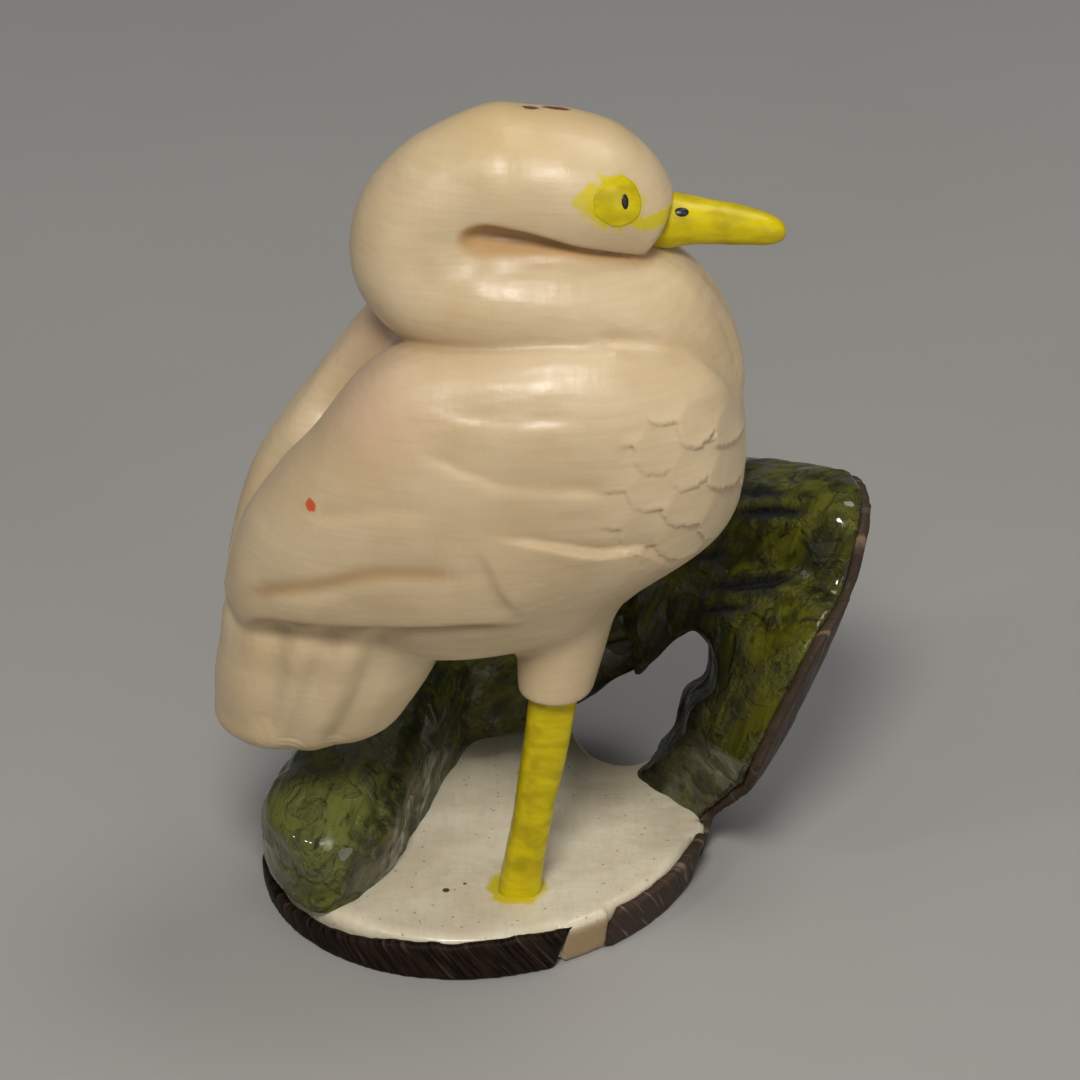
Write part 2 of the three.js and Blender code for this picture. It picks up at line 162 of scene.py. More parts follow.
class Clay:
    """A block of space on a grid, whose fields hold distances in millimetres, negative inside."""

    def __init__(self, low, high, voxel):
        self.voxel = voxel
        self.first = np.floor(np.array(low) / voxel).astype(int)
        self.corner = tuple(int(i) for i in self.first)
        self.transform = openvdb.createLinearTransform(voxel)
        last = np.ceil(np.array(high) / voxel).astype(int)
        self.shape = tuple(last - self.first + 1)
        axes = [(self.first[i] + np.arange(self.shape[i])) * voxel for i in range(3)]
        self.x = axes[0][:, None, None].astype(np.float32)
        self.y = axes[1][None, :, None].astype(np.float32)
        self.z = axes[2][None, None, :].astype(np.float32)

    def body(self, points, triangles):
        grid = openvdb.FloatGrid.createLevelSetFromPolygons(
            points.astype(np.float32),
            triangles=triangles.astype(np.uint32),
            transform=self.transform,
            halfWidth=BAND / self.voxel,
        )
        field = np.zeros(self.shape, np.float32)
        grid.copyToArray(field, ijk=self.corner)
        return field

    def sweep(self, *arguments, **settings):
        return self.body(*sweep(*arguments, **settings))

    def ellipsoid(self, centre, radii, tilt=0.0):
        """An ellipsoid, tilted about the y axis."""
        dx, dy, dz = self.x - centre[0], self.y - centre[1], self.z - centre[2]
        cosine, sine = math.cos(tilt), math.sin(tilt)
        ax, ay, az = (dx * cosine - dz * sine), dy, (dx * sine + dz * cosine)
        a, b, c = radii
        near = np.sqrt((ax / a) ** 2 + (ay / b) ** 2 + (az / c) ** 2)
        steep = np.sqrt((ax / a**2) ** 2 + (ay / b**2) ** 2 + (az / c**2) ** 2)
        return np.clip(near * (near - 1) / np.maximum(steep, 1e-6), -BAND, BAND)

    def peg(self, low, high, low_radius, high_radius):
        """A tapered round peg from one point to another, cut level at its low end."""
        share = np.clip((self.z - low[2]) / (high[2] - low[2]), 0, 1)
        dx = self.x - (low[0] + (high[0] - low[0]) * share)
        dy = self.y - (low[1] + (high[1] - low[1]) * share)
        radial = np.sqrt(dx * dx + dy * dy) - (low_radius + (high_radius - low_radius) * share)
        return carve(np.maximum(radial, self.z - high[2]), self.z - low[2], 0.5)

    def points(self):
        grid = np.broadcast_arrays(self.x, self.y, self.z)
        return np.stack(grid, -1)

    def mesh(self, field, relax=2):
        """The field's surface as a skin of quads, facing outwards."""
        grid = openvdb.FloatGrid(BAND)
        grid.copyFromArray(field.astype(np.float32), ijk=self.corner)
        grid.transform = self.transform
        points, quads = grid.convertToQuads(0.0)
        points, quads = points.astype(float), quads.astype(int)
        a, b, c, d = (points[quads[:, i]] for i in range(4))
        middle = (a + b + c + d) / 4
        if np.einsum("ij,ij->i", middle, np.cross(c - a, d - b)).sum() < 0:
            quads = quads[:, ::-1]
        return Skin(points, quads).relaxed(relax)

    def at(self, field, points):
        """The field's values at points, interpolated."""
        cell = points / self.voxel - self.first
        cell = np.clip(cell, 0, np.array(self.shape) - 1.001)
        base = cell.astype(int)
        part = cell - base
        total = np.zeros(len(points))
        for corner in itertools.product((0, 1), repeat=3):
            weight = np.prod(np.where(np.array(corner), part, 1 - part), 1)
            index = base + corner
            total += weight * field[index[:, 0], index[:, 1], index[:, 2]]
        return total

    def blurred(self, field, radius):
        """The field averaged over a cube of this radius."""
        reach = max(1, round(radius / self.voxel))
        for axis in range(3):
            padding = [(0, 0)] * 3
            padding[axis] = (reach + 1, reach)
            total = np.cumsum(np.pad(field, padding, mode="edge"), axis=axis, dtype=np.float64)
            size = field.shape[axis]
            upper = np.take(total, np.arange(size) + 2 * reach + 1, axis=axis)
            lower = np.take(total, np.arange(size), axis=axis)
            field = ((upper - lower) / (2 * reach + 1)).astype(np.float32)
        return field


def banded(field):
    return np.clip(field, -BAND, BAND).astype(np.float32)


def join(a, b, blend):
    """Both bodies, melted together over a distance."""
    share = np.clip(0.5 + 0.5 * (b - a) / blend, 0, 1)
    return b + (a - b) * share - blend * share * (1 - share)


def carve(a, b, blend):
    """Body a with body b taken away."""
    return -join(-a, b, blend)


def overlap(a, b, blend):
    """What bodies a and b share."""
    return -join(-a, -b, blend)


def noise(points, size, seed=0):
    """Smooth random values from -1 to 1 that vary over about this many millimetres."""
    cell = points / size
    base = np.floor(cell).astype(np.int64)
    part = (cell - base).astype(np.float32)
    ease = part * part * (3 - 2 * part)
    total = np.zeros(points.shape[:-1], np.float32)
    for corner in itertools.product((0, 1), repeat=3):
        key = (base + corner) @ np.array([73856093, 19349663, 83492791]) + seed * 9176
        key = (key ^ (key >> 13)) * 1274126177
        value = ((key ^ (key >> 16)) & 0xFFFF) / 0xFFFF
        weight = np.where(np.array(corner), ease, 1 - ease)
        total += (weight[..., 0] * weight[..., 1] * weight[..., 2] * value).astype(np.float32)
    return total * 2 - 1


# ---- Skins: meshes that are tooled by moving their vertices ----------------------------------


def sums(index, values, size):
    """The sum of the values (rows) that go to each index."""
    return np.stack([np.bincount(index, column, size) for column in values.T], 1)


def reached(points):
    """How far along a line each of its points lies."""
    return np.concatenate([[0], np.cumsum(np.linalg.norm(np.diff(points, axis=0), axis=1))])


class Skin:
    """Points and quads of a closed surface, in the nut's frame."""

    def __init__(self, points, quads):
        self.points = points
        self.quads = quads
        self.masks = {}

    def normals(self):
        a, b, c, d = (self.points[self.quads[:, i]] for i in range(4))
        return self.spread(np.cross(c - a, d - b))

    def spread(self, faces):
        """The direction at each point that its faces' directions add up to."""
        corners = self.quads.shape[1]
        index = self.quads.reshape(-1)
        return unit(sums(index, np.repeat(faces, corners, axis=0), len(self.points)))

    def relaxed(self, rounds):
        """The same skin after its points have moved towards their neighbours' middle."""
        edges = np.concatenate([self.quads[:, [i, (i + 1) % 4]] for i in range(4)])
        edges = np.concatenate([edges, edges[:, ::-1]])
        size = len(self.points)
        number = np.maximum(np.bincount(edges[:, 0], minlength=size), 1)[:, None]
        for turn in range(rounds * 2):
            push = 0.5 if turn % 2 == 0 else -0.52
            near = self.points[edges[:, 1]]
            total = sums(edges[:, 0], near, size)
            self.points = self.points + push * (total / number - self.points)
        return self

    def raise_by(self, height):
        """Moves each point along its normal by its height, in millimetres."""
        self.points = self.points + self.normals() * np.asarray(height)[:, None]
        return self

    def piece(self, name, material, nodes, slot):
        """The skin as a Blender object that stands for CAD nodes."""
        mesh = bpy.data.meshes.new(name)
        mesh.from_pydata(self.points * MM + NUT_TO_ROW, [], self.quads.tolist())
        mesh.update()
        mesh.shade_smooth()
        for mask, values in self.masks.items():
            attribute = mesh.attributes.new(mask, "FLOAT", "POINT")
            attribute.data.foreach_set("value", np.asarray(values, np.float32))
        item = bpy.data.objects.new(name, mesh)
        bpy.context.scene.collection.objects.link(item)
        mesh.materials.append(material)
        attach(item, "root")
        if nodes:
            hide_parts(*nodes)


class TriangleSkin(Skin):
    """The same with triangles, such as the walls of a swept body."""

    def normals(self):
        a, b, c = (self.points[self.quads[:, i]] for i in range(3))
        return self.spread(np.cross(b - a, c - a))


FADE_LENGTH = 2.8  # over which a carved line fades at each end


class Line:
    """A carved line on a side of the object, as seen along y: a smooth curve in x and z."""

    def __init__(self, corners, steps=48):
        corners = np.array(corners, float)
        self.points, slope = curve(corners, steps)
        self.along = unit(slope)
        self.reached = reached(self.points)

    def near(self, points):
        """Signed distance from the line, positive above it, and a share that fades at its ends."""
        flat = points[:, [0, 2]]
        best = np.full(len(flat), np.inf)
        index = np.zeros(len(flat), int)
        for i, point in enumerate(self.points):
            distance = ((flat - point) ** 2).sum(1)
            closer = distance < best
            best[closer] = distance[closer]
            index[closer] = i
        offset = flat - self.points[index]
        along = self.along[index]
        across = along[:, 0] * offset[:, 1] - along[:, 1] * offset[:, 0]
        beyond = np.abs((along * offset).sum(1))
        at_end = (index == 0) | (index == len(self.points) - 1)
        beyond = np.where(at_end, beyond, 0)
        run = np.minimum(self.reached[index], self.reached[-1] - self.reached[index])
        fade = np.clip(run / FADE_LENGTH, 0, 1) ** 1.5 * np.exp(-((beyond / 0.3) ** 2))
        return across, fade


def ledge(points, height, brown, soft, corners):
    """Relief of a feather's edge, and the share of brown in it.

    The wing is scooped out above the line and stands proud below it.
    """
    across, fade = Line(corners).near(points)
    if height < 0:
        across, height = -across, -height
    proud = 0.5 * np.exp(np.minimum(across, 0) / 2.4)
    scoop = -0.9 * np.exp(-np.maximum(across, 0) / 1.6)
    share = 1 / (1 + np.exp(np.clip(across / soft, -30, 30)))
    height = height * fade * (1 + 0.35 * noise(points, 2.2, 11))
    rise = height * (proud * share + scoop * (1 - share))
    return rise, brown * fade * np.exp(-(((across - 0.25) / 0.55) ** 2))


def groove(points, corners, depth, width):
    """Relief of a cut line."""
    across, fade = Line(corners).near(points)
    return -depth * fade * np.exp(-((across / width) ** 2))


# ---- Finishes --------------------------------------------------------------------------------


class Finish:
    """A material whose pattern is laid out in millimetres of the object's own space."""

    def __init__(self, name, **settings):
        self.material = bpy.data.materials.new(name)
        self.material.use_nodes = True
        self.tree = self.material.node_tree
        self.shader = self.tree.nodes["Principled BSDF"]
        self.colour = None
        for socket, value in settings.items():
            self.shader.inputs[socket.replace("_", " ")].default_value = value
        place = self.node("TexCoord")
        self.mm = self.vector("SCALE", place.outputs["Object"], scale=1 / MM)

    def node(self, kind):
        return self.tree.nodes.new("ShaderNode" + kind)

    def put(self, socket, value):
        if isinstance(value, bpy.types.NodeSocket):
            self.tree.links.new(value, socket)
        elif value is not None:
            socket.default_value = value

    def set(self, name, value):
        self.put(self.shader.inputs[name], value)

    def vector(self, operation, a, b=None, scale=None):
        node = self.node("VectorMath")
        node.operation = operation
        self.put(node.inputs[0], a)
        self.put(node.inputs[1], b)
        if scale is not None:
            node.inputs["Scale"].default_value = scale
        return node.outputs["Value" if operation == "LENGTH" else "Vector"]

    def math(self, operation, a, b=None, clamp=False):
        node = self.node("Math")
        node.operation = operation
        node.use_clamp = clamp
        self.put(node.inputs[0], a)
        self.put(node.inputs[1], b)
        return node.outputs[0]

    def noise(
        self, size, detail=3.0, stretch=(1, 1, 1), turn=(0, 0, 0), distortion=0.0, rough=0.5
    ):
        """Noise whose features are about this many millimetres wide, stretched along its axes."""
        place = self.node("Mapping")
        self.put(place.inputs["Vector"], self.mm)
        place.inputs["Rotation"].default_value = turn
        place.inputs["Scale"].default_value = [1 / (size * s) for s in stretch]
        return self.noise_at(place.outputs[0], detail, distortion, rough)

    def lane_noise(self, across, along, detail):
        """Noise drawn out lengthwise, by the masks that say how streaks lie on a piece."""
        place = self.node("CombineXYZ")
        sizes = {"lane": across, "depth": across, "run": along}
        for socket, (name, size) in zip(place.inputs, sizes.items()):
            self.put(socket, self.math("DIVIDE", self.mask(name), size))
        return self.noise_at(place.outputs[0], detail, 0.3, 0.5)

    def noise_at(self, place, detail, distortion, rough):
        node = self.node("TexNoise")
        self.put(node.inputs["Vector"], place)
        settings = {"Scale": 1.0, "Detail": detail, "Roughness": rough, "Distortion": distortion}
        for name, value in settings.items():
            node.inputs[name].default_value = value
        return node.outputs["Fac"]

    def cells(self, size):
        """The distance to the nearest of a scatter of points this many millimetres apart."""
        node = self.node("TexVoronoi")
        self.put(node.inputs["Vector"], self.mm)
        node.inputs["Scale"].default_value = 1 / size
        return node.outputs["Distance"]

    def ramp(self, value, low, high, start=0.0, end=1.0):
        """A value taken smoothly from one range to another."""
        node = self.node("MapRange")
        node.interpolation_type = "SMOOTHSTEP"
        for socket, number in zip(node.inputs, (value, low, high, start, end)):
            self.put(socket, number)
        return node.outputs[0]

    def mask(self, name):
        node = self.node("Attribute")
        node.attribute_name = name
        return node.outputs["Fac"]

    def mix(self, share, a, b):
        node = self.node("Mix")
        node.data_type = "RGBA"
        self.put(node.inputs[0], share)
        for socket, value in ((node.inputs[6], a), (node.inputs[7], b)):
            self.put(socket, (*value, 1) if isinstance(value, tuple) else value)
        return node.outputs[2]

    def lay(self, share, strength, tone):
        """Lays a tone over the colour so far, by a share or the name of a mask."""
        share = self.mask(share) if isinstance(share, str) else share
        self.colour = self.mix(self.math("MULTIPLY", share, strength), self.colour, tone)

    def spot(self, centre, radii, soft=0.3, ragged=0.25, size=0.5):
        """A share that is 1 inside a ragged ellipsoid and 0 outside it."""
        away = self.vector("SUBTRACT", self.mm, self.row_mm(centre))
        away = self.vector("DIVIDE", away, tuple(radii))
        distance = self.vector("LENGTH", away)
        shift = self.math("MULTIPLY", self.math("SUBTRACT", self.noise(size), 0.5), ragged * 4)
        return self.ramp(self.math("ADD", distance, shift), 1 + soft, 1 - soft)

    @staticmethod
    def row_mm(point):
        return tuple(float(v) for v in np.array(point) + NUT_TO_ROW / MM)

    def patches(self, low, high, size, detail=3, **how):
        """A share that rises to 1 in the patches where noise is high."""
        return self.ramp(self.noise(size, detail, **how), low, high)

    def finished(self, roughness=None, *layers):
        """The material with its colour and roughness, and bumps (height, depth in millimetres)."""
        normal = None
        for height, depth in layers:
            node = self.node("Bump")
            node.inputs["Strength"].default_value = 1.0
            node.inputs["Distance"].default_value = depth * MM
            self.put(node.inputs["Height"], height)
            if normal is not None:
                self.put(node.inputs["Normal"], normal)
            normal = node.outputs[0]
        self.set("Base Color", self.colour)
        self.set("Roughness", roughness)
        self.set("Normal", normal)
        return self.material


# Brown flecks on the crown: middle and radii.
CROWN_FLECKS = [
    ((5.1, -5.4, 58.3), (0.9, 0.42, 0.8)),
    ((3.5, -5.8, 58.2), (0.8, 0.38, 0.8)),
]
ORANGE_FLECK = (-10.1, -14.4, 35.6)  # on the right wing
# Yellow paint round the eye: x, distance out from the plane of symmetry, z, radii, strength.
EYE_PAINT = [
    (8.7, 4.4, 54.7, (2.05, 1.6, 1.75), 1.0),
    (6.9, 4.4, 54.9, (0.9, 1.4, 0.55), 0.8),
    (11.1, 3.2, 53.0, (1.35, 2.2, 0.5), 0.95),
    (12.2, 1.4, 51.4, (0.55, 2.2, 1.9), 0.9),
]
# Dark specks on the floor: middle and radius.
FLOOR_SPECKS = [((-2.15, -9.3, 3.0), 0.24), ((-0.9, -8.5, 3.0), 0.12), ((13.2, 3.0, 3.0), 0.2)]


def ivory_finish():
    """Polished tagua: creamy and faintly translucent, with painted shade laid grey-brown in the
    creases and in the slot below the jaw.
    """
    skin = Finish(
        "polished_tagua",
        Roughness=0.4,
        Subsurface_Weight=0.25,
        Subsurface_Scale=1.2 * MM,
        Coat_Weight=0.22,
        Coat_Roughness=0.3,
    )
    skin.shader.inputs["Subsurface Radius"].default_value = (1.0, 0.6, 0.3)
    cloud = skin.patches(0.3, 0.7, 6.0, distortion=0.4)
    grain = skin.patches(0.35, 0.7, 0.5, 4, stretch=(8, 8, 0.6))
    skin.colour = skin.mix(cloud, (0.60, 0.45, 0.255), (0.66, 0.52, 0.32))
    skin.lay(grain, 0.16, (0.46, 0.33, 0.17))
    skin.lay("crown", 0.55, (0.60, 0.43, 0.18))
    skin.lay("blush", 0.4, (0.60, 0.36, 0.24))
    # painted shade: creases darkened grey-brown by how deep they lie
    skin.lay("crevice_shade", 0.7, (0.36, 0.22, 0.10))
    skin.lay("edge", 0.7, (0.34, 0.19, 0.07))
    # painted shade: the inside of the slot between the jaw and the folded neck laid brown
    skin.lay("slot", 0.75, (0.52, 0.31, 0.12))
    for centre, radii in CROWN_FLECKS:
        skin.lay(skin.spot(centre, radii, 0.15, 0.2, 0.4), 1, (0.17, 0.04, 0.012))
    for side in (-1, 1):
        for x, out, z, radii, share in EYE_PAINT:
            patch = skin.spot((x, BIRD_Y + side * out, z), radii, 0.18, 0.22, 0.6)
            skin.lay(patch, share, (0.62, 0.50, 0.006))
    skin.lay(skin.spot(ORANGE_FLECK, (0.35, 0.8, 0.38), 0.2, 0.3, 0.4), 1, (0.6, 0.1, 0.03))
    marks = skin.noise(0.32, 3, stretch=(7, 7, 0.7), turn=(0.2, 0.5, 0.1))
    barbs = skin.noise(0.3, 3, stretch=(1, 9, 9), turn=(0, 0.15, 0))
    roughness = skin.ramp(skin.noise(1.6, 3), 0.3, 0.7, 0.34, 0.52)
    return skin.finished(roughness, (skin.noise(1.4, 3), 0.05), (marks, 0.012), (barbs, 0.014))


def yellow_finish(name, dark=0.0):
    """Brush-painted yellow over nut, streaky, with the pale nut showing through in places."""
    paint = Finish(name, Coat_Weight=0.12, Coat_Roughness=0.2, Specular_IOR_Level=0.25)
    streak = paint.patches(0.3, 0.75, 0.9, 4, stretch=(3, 1, 1))
    paint.colour = paint.mix(streak, (0.47, 0.36, 0.0), (0.66, 0.53, 0.002))
    paint.lay(paint.patches(0.55, 0.75, 1.7), 0.4 + dark, (0.34, 0.26, 0.0))
    paint.lay(paint.patches(0.72, 0.8, 0.25, 2), 0.5, (0.25, 0.19, 0.01))
    roughness = paint.ramp(streak, 0, 1, 0.42, 0.3)
    return paint.finished(roughness, (paint.noise(0.9, 4), 0.05), (paint.noise(0.2, 2), 0.012))


def black_finish():
    paint = Finish("black_paint", Roughness=0.35)
    paint.colour = paint.mix(paint.noise(0.3, 2), (0.004, 0.004, 0.004), (0.012, 0.010, 0.008))
    return paint.finished()


def green_finish():
    """Thick wet-looking varnish over olive paint, streaked lengthwise and black in the cuts, with
    painted shade in its creases, round the hole and on the left arm's inner side.
    """
    paint = Finish("olive_varnish", Specular_IOR_Level=0.15)
    streak = paint.lane_noise(1.3, 9.0, 3)
    fine = paint.lane_noise(0.5, 6.0, 3)
    broad = paint.ramp(streak, 0.32, 0.66)
    paint.colour = paint.mix(broad, (0.013, 0.015, 0.001), (0.090, 0.088, 0.004))
    paint.lay(paint.patches(0.48, 0.68, 5.0), 0.5, (0.13, 0.13, 0.014))
    paint.lay("lobe", 0.75, (0.15, 0.165, 0.045))
    paint.lay(paint.ramp(fine, 0.5, 0.7), 0.45, (0.012, 0.014, 0.003))
    # painted shade: the left arm's inward-facing side darkened in ragged patches
    side = paint.math("MULTIPLY", paint.mask("side"), paint.patches(0.25, 0.6, 0.7, 4))
    paint.lay(side, 0.85, (0.016, 0.019, 0.009))
    paint.lay(paint.patches(0.56, 0.7, 1.3, 5, distortion=1.0), 0.75, (0.006, 0.008, 0.002))
    # painted shade: the log's creases darkened nearly black
    paint.lay("crevice_shade", 1, (0.006, 0.007, 0.002))
    # painted shade: the log darkened within about 2.4 mm of the pierced hole
    paint.lay("under", 0.8, (0.006, 0.007, 0.003))
    paint.lay("cut", 1, (0.003, 0.003, 0.002))
    wet = paint.patches(0.46, 0.58, 2.4, distortion=0.6)
    wet = paint.math("MAXIMUM", wet, paint.mask("cut"))
    dry = paint.ramp(paint.mask("under"), 0, 1, 1, 0.1)
    paint.set("Coat Weight", paint.math("MULTIPLY", paint.ramp(wet, 0, 1, 0.22, 1.0), dry))
    paint.set("Coat Roughness", paint.ramp(wet, 0, 1, 0.25, 0.05))
    drops = paint.math("MULTIPLY", paint.noise(0.36, 4, rough=0.6), wet)
    dents = paint.noise(1.0, 5, rough=0.6)
    roughness = paint.ramp(paint.noise(2.0, 3), 0.3, 0.7, 0.5, 0.25)
    return paint.finished(roughness, (fine, 0.06), (dents, 0.1), (drops, 0.5))


def nut_finish():
    """The cut white nut of the floor, sanded and varnished, tan where its edge is bare."""
    skin = Finish("white_nut", Subsurface_Weight=0.3, Coat_Weight=0.3, Coat_Roughness=0.15)
    skin.shader.inputs["Subsurface Scale"].default_value = 1.0 * MM
    cloud = skin.patches(0.3, 0.7, 3.5, 4)
    skin.colour = skin.mix(cloud, (0.66, 0.57, 0.41), (0.74, 0.67, 0.50))
    grain = skin.patches(0.4, 0.75, 0.4, 4, stretch=(1, 5, 1))
    skin.lay(grain, 0.2, (0.48, 0.43, 0.28))
    skin.lay(skin.ramp(skin.cells(0.9), 0.14, 0.06), 0.6, (0.16, 0.13, 0.06))
    for centre, radius in FLOOR_SPECKS:
        blot = skin.spot(centre, (radius, radius, radius), 0.2, 0.1, 0.3)
        skin.lay(blot, 1, (0.06, 0.065, 0.02))
    skin.lay("tan", 1, (0.36, 0.25, 0.12))
    skin.lay("stain", 1, (0.62, 0.50, 0.02))
    roughness = skin.ramp(skin.noise(1.0, 3), 0.3, 0.7, 0.28, 0.5)
    return skin.finished(roughness, (skin.noise(1.0, 4), 0.08), (skin.noise(0.22, 2), 0.02))


def coat_finish():
    """The nut's brown seed coat: fibrous, with pale slanting streaks, and painted light that makes
    its right and back part lighter.
    """
    skin = Finish("seed_coat_brown", Specular_IOR_Level=0.08)
    streak = skin.lane_noise(0.3, 3.0, 5)
    shade = skin.ramp(streak, 0.35, 0.65)
    skin.colour = skin.mix(shade, (0.004, 0.0025, 0.0015), (0.024, 0.013, 0.008))
    pale = skin.ramp(skin.lane_noise(0.55, 4.5, 4), 0.56, 0.7)
    # painted light: the coat's right and back part, with the upright wall, laid lighter and its own
    # pale streaks shown more; the front stays dark as painted shade
    share = skin.ramp(skin.mask("worn"), 0, 1, 0.2, 0.9)
    skin.lay("worn", 0.6, (0.085, 0.058, 0.042))
    skin.lay(pale, share, (0.22, 0.15, 0.10))
    roughness = skin.ramp(streak, 0.3, 0.7, 0.35, 0.6)
    return skin.finished(roughness, (streak, 0.12), (skin.noise(0.2, 3), 0.03))


# ---- The bird --------------------------------------------------------------------------------

# Masses on the plane of symmetry: x, z, half width, half height.
TORSO = [
    [-13.5, 25.0, 0.6, 0.6],
    [-11.0, 27.0, 6.3, 5.0],
    [-6.0, 29.6, 8.4, 8.6],
    [0.0, 31.0, 9.0, 10.2],
    [6.0, 32.5, 9.2, 10.0],
    [11.0, 34.6, 8.4, 8.0],
    [14.5, 36.2, 6.0, 5.6],
    [16.8, 36.5, 0.6, 0.6],
]
# A folded wing: x, distance out from the plane of symmetry, z, half width, half height.
WING = [
    [-16.2, 1.8, 26.0, 0.5, 0.6],
    [-14.6, 2.8, 28.0, 2.8, 4.2],
    [-11.0, 3.8, 31.0, 4.6, 6.5],
    [-6.0, 4.5, 34.4, 5.6, 9.4],
    [0.0, 4.9, 35.4, 5.9, 10.4],
    [6.0, 4.9, 37.0, 5.9, 9.7],
    [11.0, 4.3, 37.2, 5.6, 8.4],
    [14.6, 3.3, 37.2, 4.6, 6.7],
    [16.6, 2.2, 36.4, 2.4, 4.0],
    [17.3, 1.6, 36.0, 0.4, 0.4],
]
# The tail: x, z, half length in x, half width in y.
TAIL = [
    [-7.4, 29.0, 0.6, 0.6],
    [-8.2, 25.5, 7.2, 6.6],
    [-9.5, 21.0, 7.4, 6.6],
    [-10.7, 17.2, 6.6, 5.7],
    [-11.5, 15.0, 5.4, 4.4],
    [-12.0, 13.7, 0.8, 0.8],
]
NECK = [
    [6.0, 54.4, 0.8, 0.8],
    [3.0, 54.3, 4.8, 4.6],
    [-0.8, 53.2, 4.8, 4.5],
    [-3.3, 50.9, 5.0, 4.2],
    [-2.9, 48.4, 5.8, 4.5],
    [1.0, 47.2, 6.7, 4.8],
    [6.0, 46.6, 7.0, 5.0],
    [10.2, 43.6, 7.0, 5.8],
    [11.3, 38.5, 6.2, 5.5],
    [10.5, 33.0, 0.8, 0.8],
]
# The head, from inside the loop of the neck to the root of the bill.
HEAD = [
    [-1.0, 53.9, 0.6, 0.6],
    [0.6, 53.8, 4.0, 4.2],
    [3.0, 53.8, 4.9, 4.9],
    [5.3, 53.8, 5.1, 4.85],
    [7.2, 53.6, 5.0, 4.65],
    [8.8, 53.35, 4.65, 4.35],
    [10.2, 52.85, 4.0, 3.8],
    [11.4, 52.2, 3.3, 3.1],
    [12.2, 51.6, 2.5, 2.15],
    [12.6, 51.5, 1.6, 1.4],
    [12.75, 51.45, 0.3, 0.3],
]
# The furrow between the wings, with its tilt, and the webs that close the loop of the neck.
BACK_VALLEY = (-12.5, BIRD_Y, 43.5), (9.5, 2.6, 4.2), 0.95
THROAT_WEBS = [
    ((1.2, BIRD_Y, 50.3), (5.4, 4.6, 3.0)),
    ((-0.9, BIRD_Y, 49.9), (3.2, 5.5, 2.5)),
]
THIGH = (*LEG_TOP, LEG_TOP_Z), (LEG_TOP[0] + 0.9, LEG_TOP[1] + 0.6, 26.0), 2.45, 3.5
FACE_X, FACE_Z = 12.6, 53.6  # the top of the slanting face round the root of the bill
FACE_SLANT = 0.6
# The slot between the jaw and the folded neck: x, distance out, z, half width, half height.
JAW_SLOT = [
    [-1.0, 5.6, 52.2, 0.3, 0.2],
    [-0.3, 5.6, 52.2, 1.8, 0.8],
    [1.0, 5.6, 52.2, 2.3, 1.15],
    [2.8, 5.6, 52.0, 2.3, 1.0],
    [4.8, 5.5, 51.65, 2.1, 0.66],
    [6.6, 5.3, 51.2, 1.8, 0.4],
    [9.0, 4.6, 50.6, 1.7, 0.24],
    [11.2, 3.6, 49.9, 1.4, 0.15],
]
SLOT_END = (-1.6, 5.4, 50.9)  # x, distance out, z of the smoothed place below the slot's end
WING_LOWER_EDGE = [
    (-15.4, 24.4),
    (-12.8, 26.5),
    (-8.0, 26.9),
    (-3.3, 27.4),
    (0.4, 27.6),
    (3.7, 27.2),
]
# Feather edges on a wing: height (negative if it is proud above), brown tint, softness in
# millimetres, and the corners in x and z.
FEATHER_EDGES = [
    (0.5, 0.2, 0.12, [(6, 46.4), (9, 46.2), (12, 45.6), (14.1, 44.4), (15.7, 42.4), (16.8, 39.6)]),
    (0.2, 0.1, 0.2, [(-3.3, 43.1), (-0.8, 42.5), (1.9, 42.3), (4.8, 42.4), (8, 42.3)]),
    (0.12, 0, 0.2, [(-1.6, 44.6), (1.4, 44.7), (4.4, 44.8), (7, 44.9)]),
    (0.38, 0.3, 0.2, [(-4, 40.7), (-2.2, 39.8), (0.5, 38.8), (2.8, 38.1), (6, 37.9), (10.1, 37.4)]),
    (0.42, 0.2, 0.06, [(0.4, 34.9), (3.7, 34.4), (7.8, 33.3), (10.6, 33.1), (12.6, 30.8)]),
    (0.3, 0.3, 0.25, [(-11.8, 34.7), (-9.4, 35.1), (-6.6, 36), (-3.1, 36.3), (-1.3, 36.1)]),
    (0.4, 1, 0.25, [(-15.2, 26.9), (-12.7, 28.8), (-10.2, 29.9), (-5.5, 31.6), (0.5, 31.6)]),
    (0.22, 0.2, 0.15, [(3.7, 27.2), (1.8, 30.2), (0.9, 32.8), (0.2, 34.9)]),
    (-0.4, 1, 0.12, WING_LOWER_EDGE),
]
# The small feathers over the shoulder: middle and half sizes of their patch, x and z.
SCALES_MIDDLE = (12.6, 36.8)
SCALES_REACH = (4.6, 5.6)
SCALES_LEAN = math.radians(-128)  # the way their tips point
SCALE_LENGTH, SCALE_WIDTH = 2.5, 2.9
TAIL_GROOVES = [
    [(-12.2, 29.5), (-12.9, 24.1), (-13.2, 20.4), (-14.2, 14.8)],
    [(-8.6, 29.5), (-9.6, 24.1), (-11.0, 19.4), (-12.8, 13.4)],
    [(-5.2, 29.5), (-6.2, 24.1), (-7.6, 19.4), (-10.2, 13.6)],
]


def mirrored(stations, side):
    return [[x, BIRD_Y + side * out, z, *sizes] for x, out, z, *sizes in stations]


def central(stations):
    return [[x, BIRD_Y, z, *sizes] for x, z, *sizes in stations]


def jaw_slots(clay):
    right, left = (clay.sweep(mirrored(JAW_SLOT, side), upright_frame) for side in (-1, 1))
    return np.minimum(right, left)


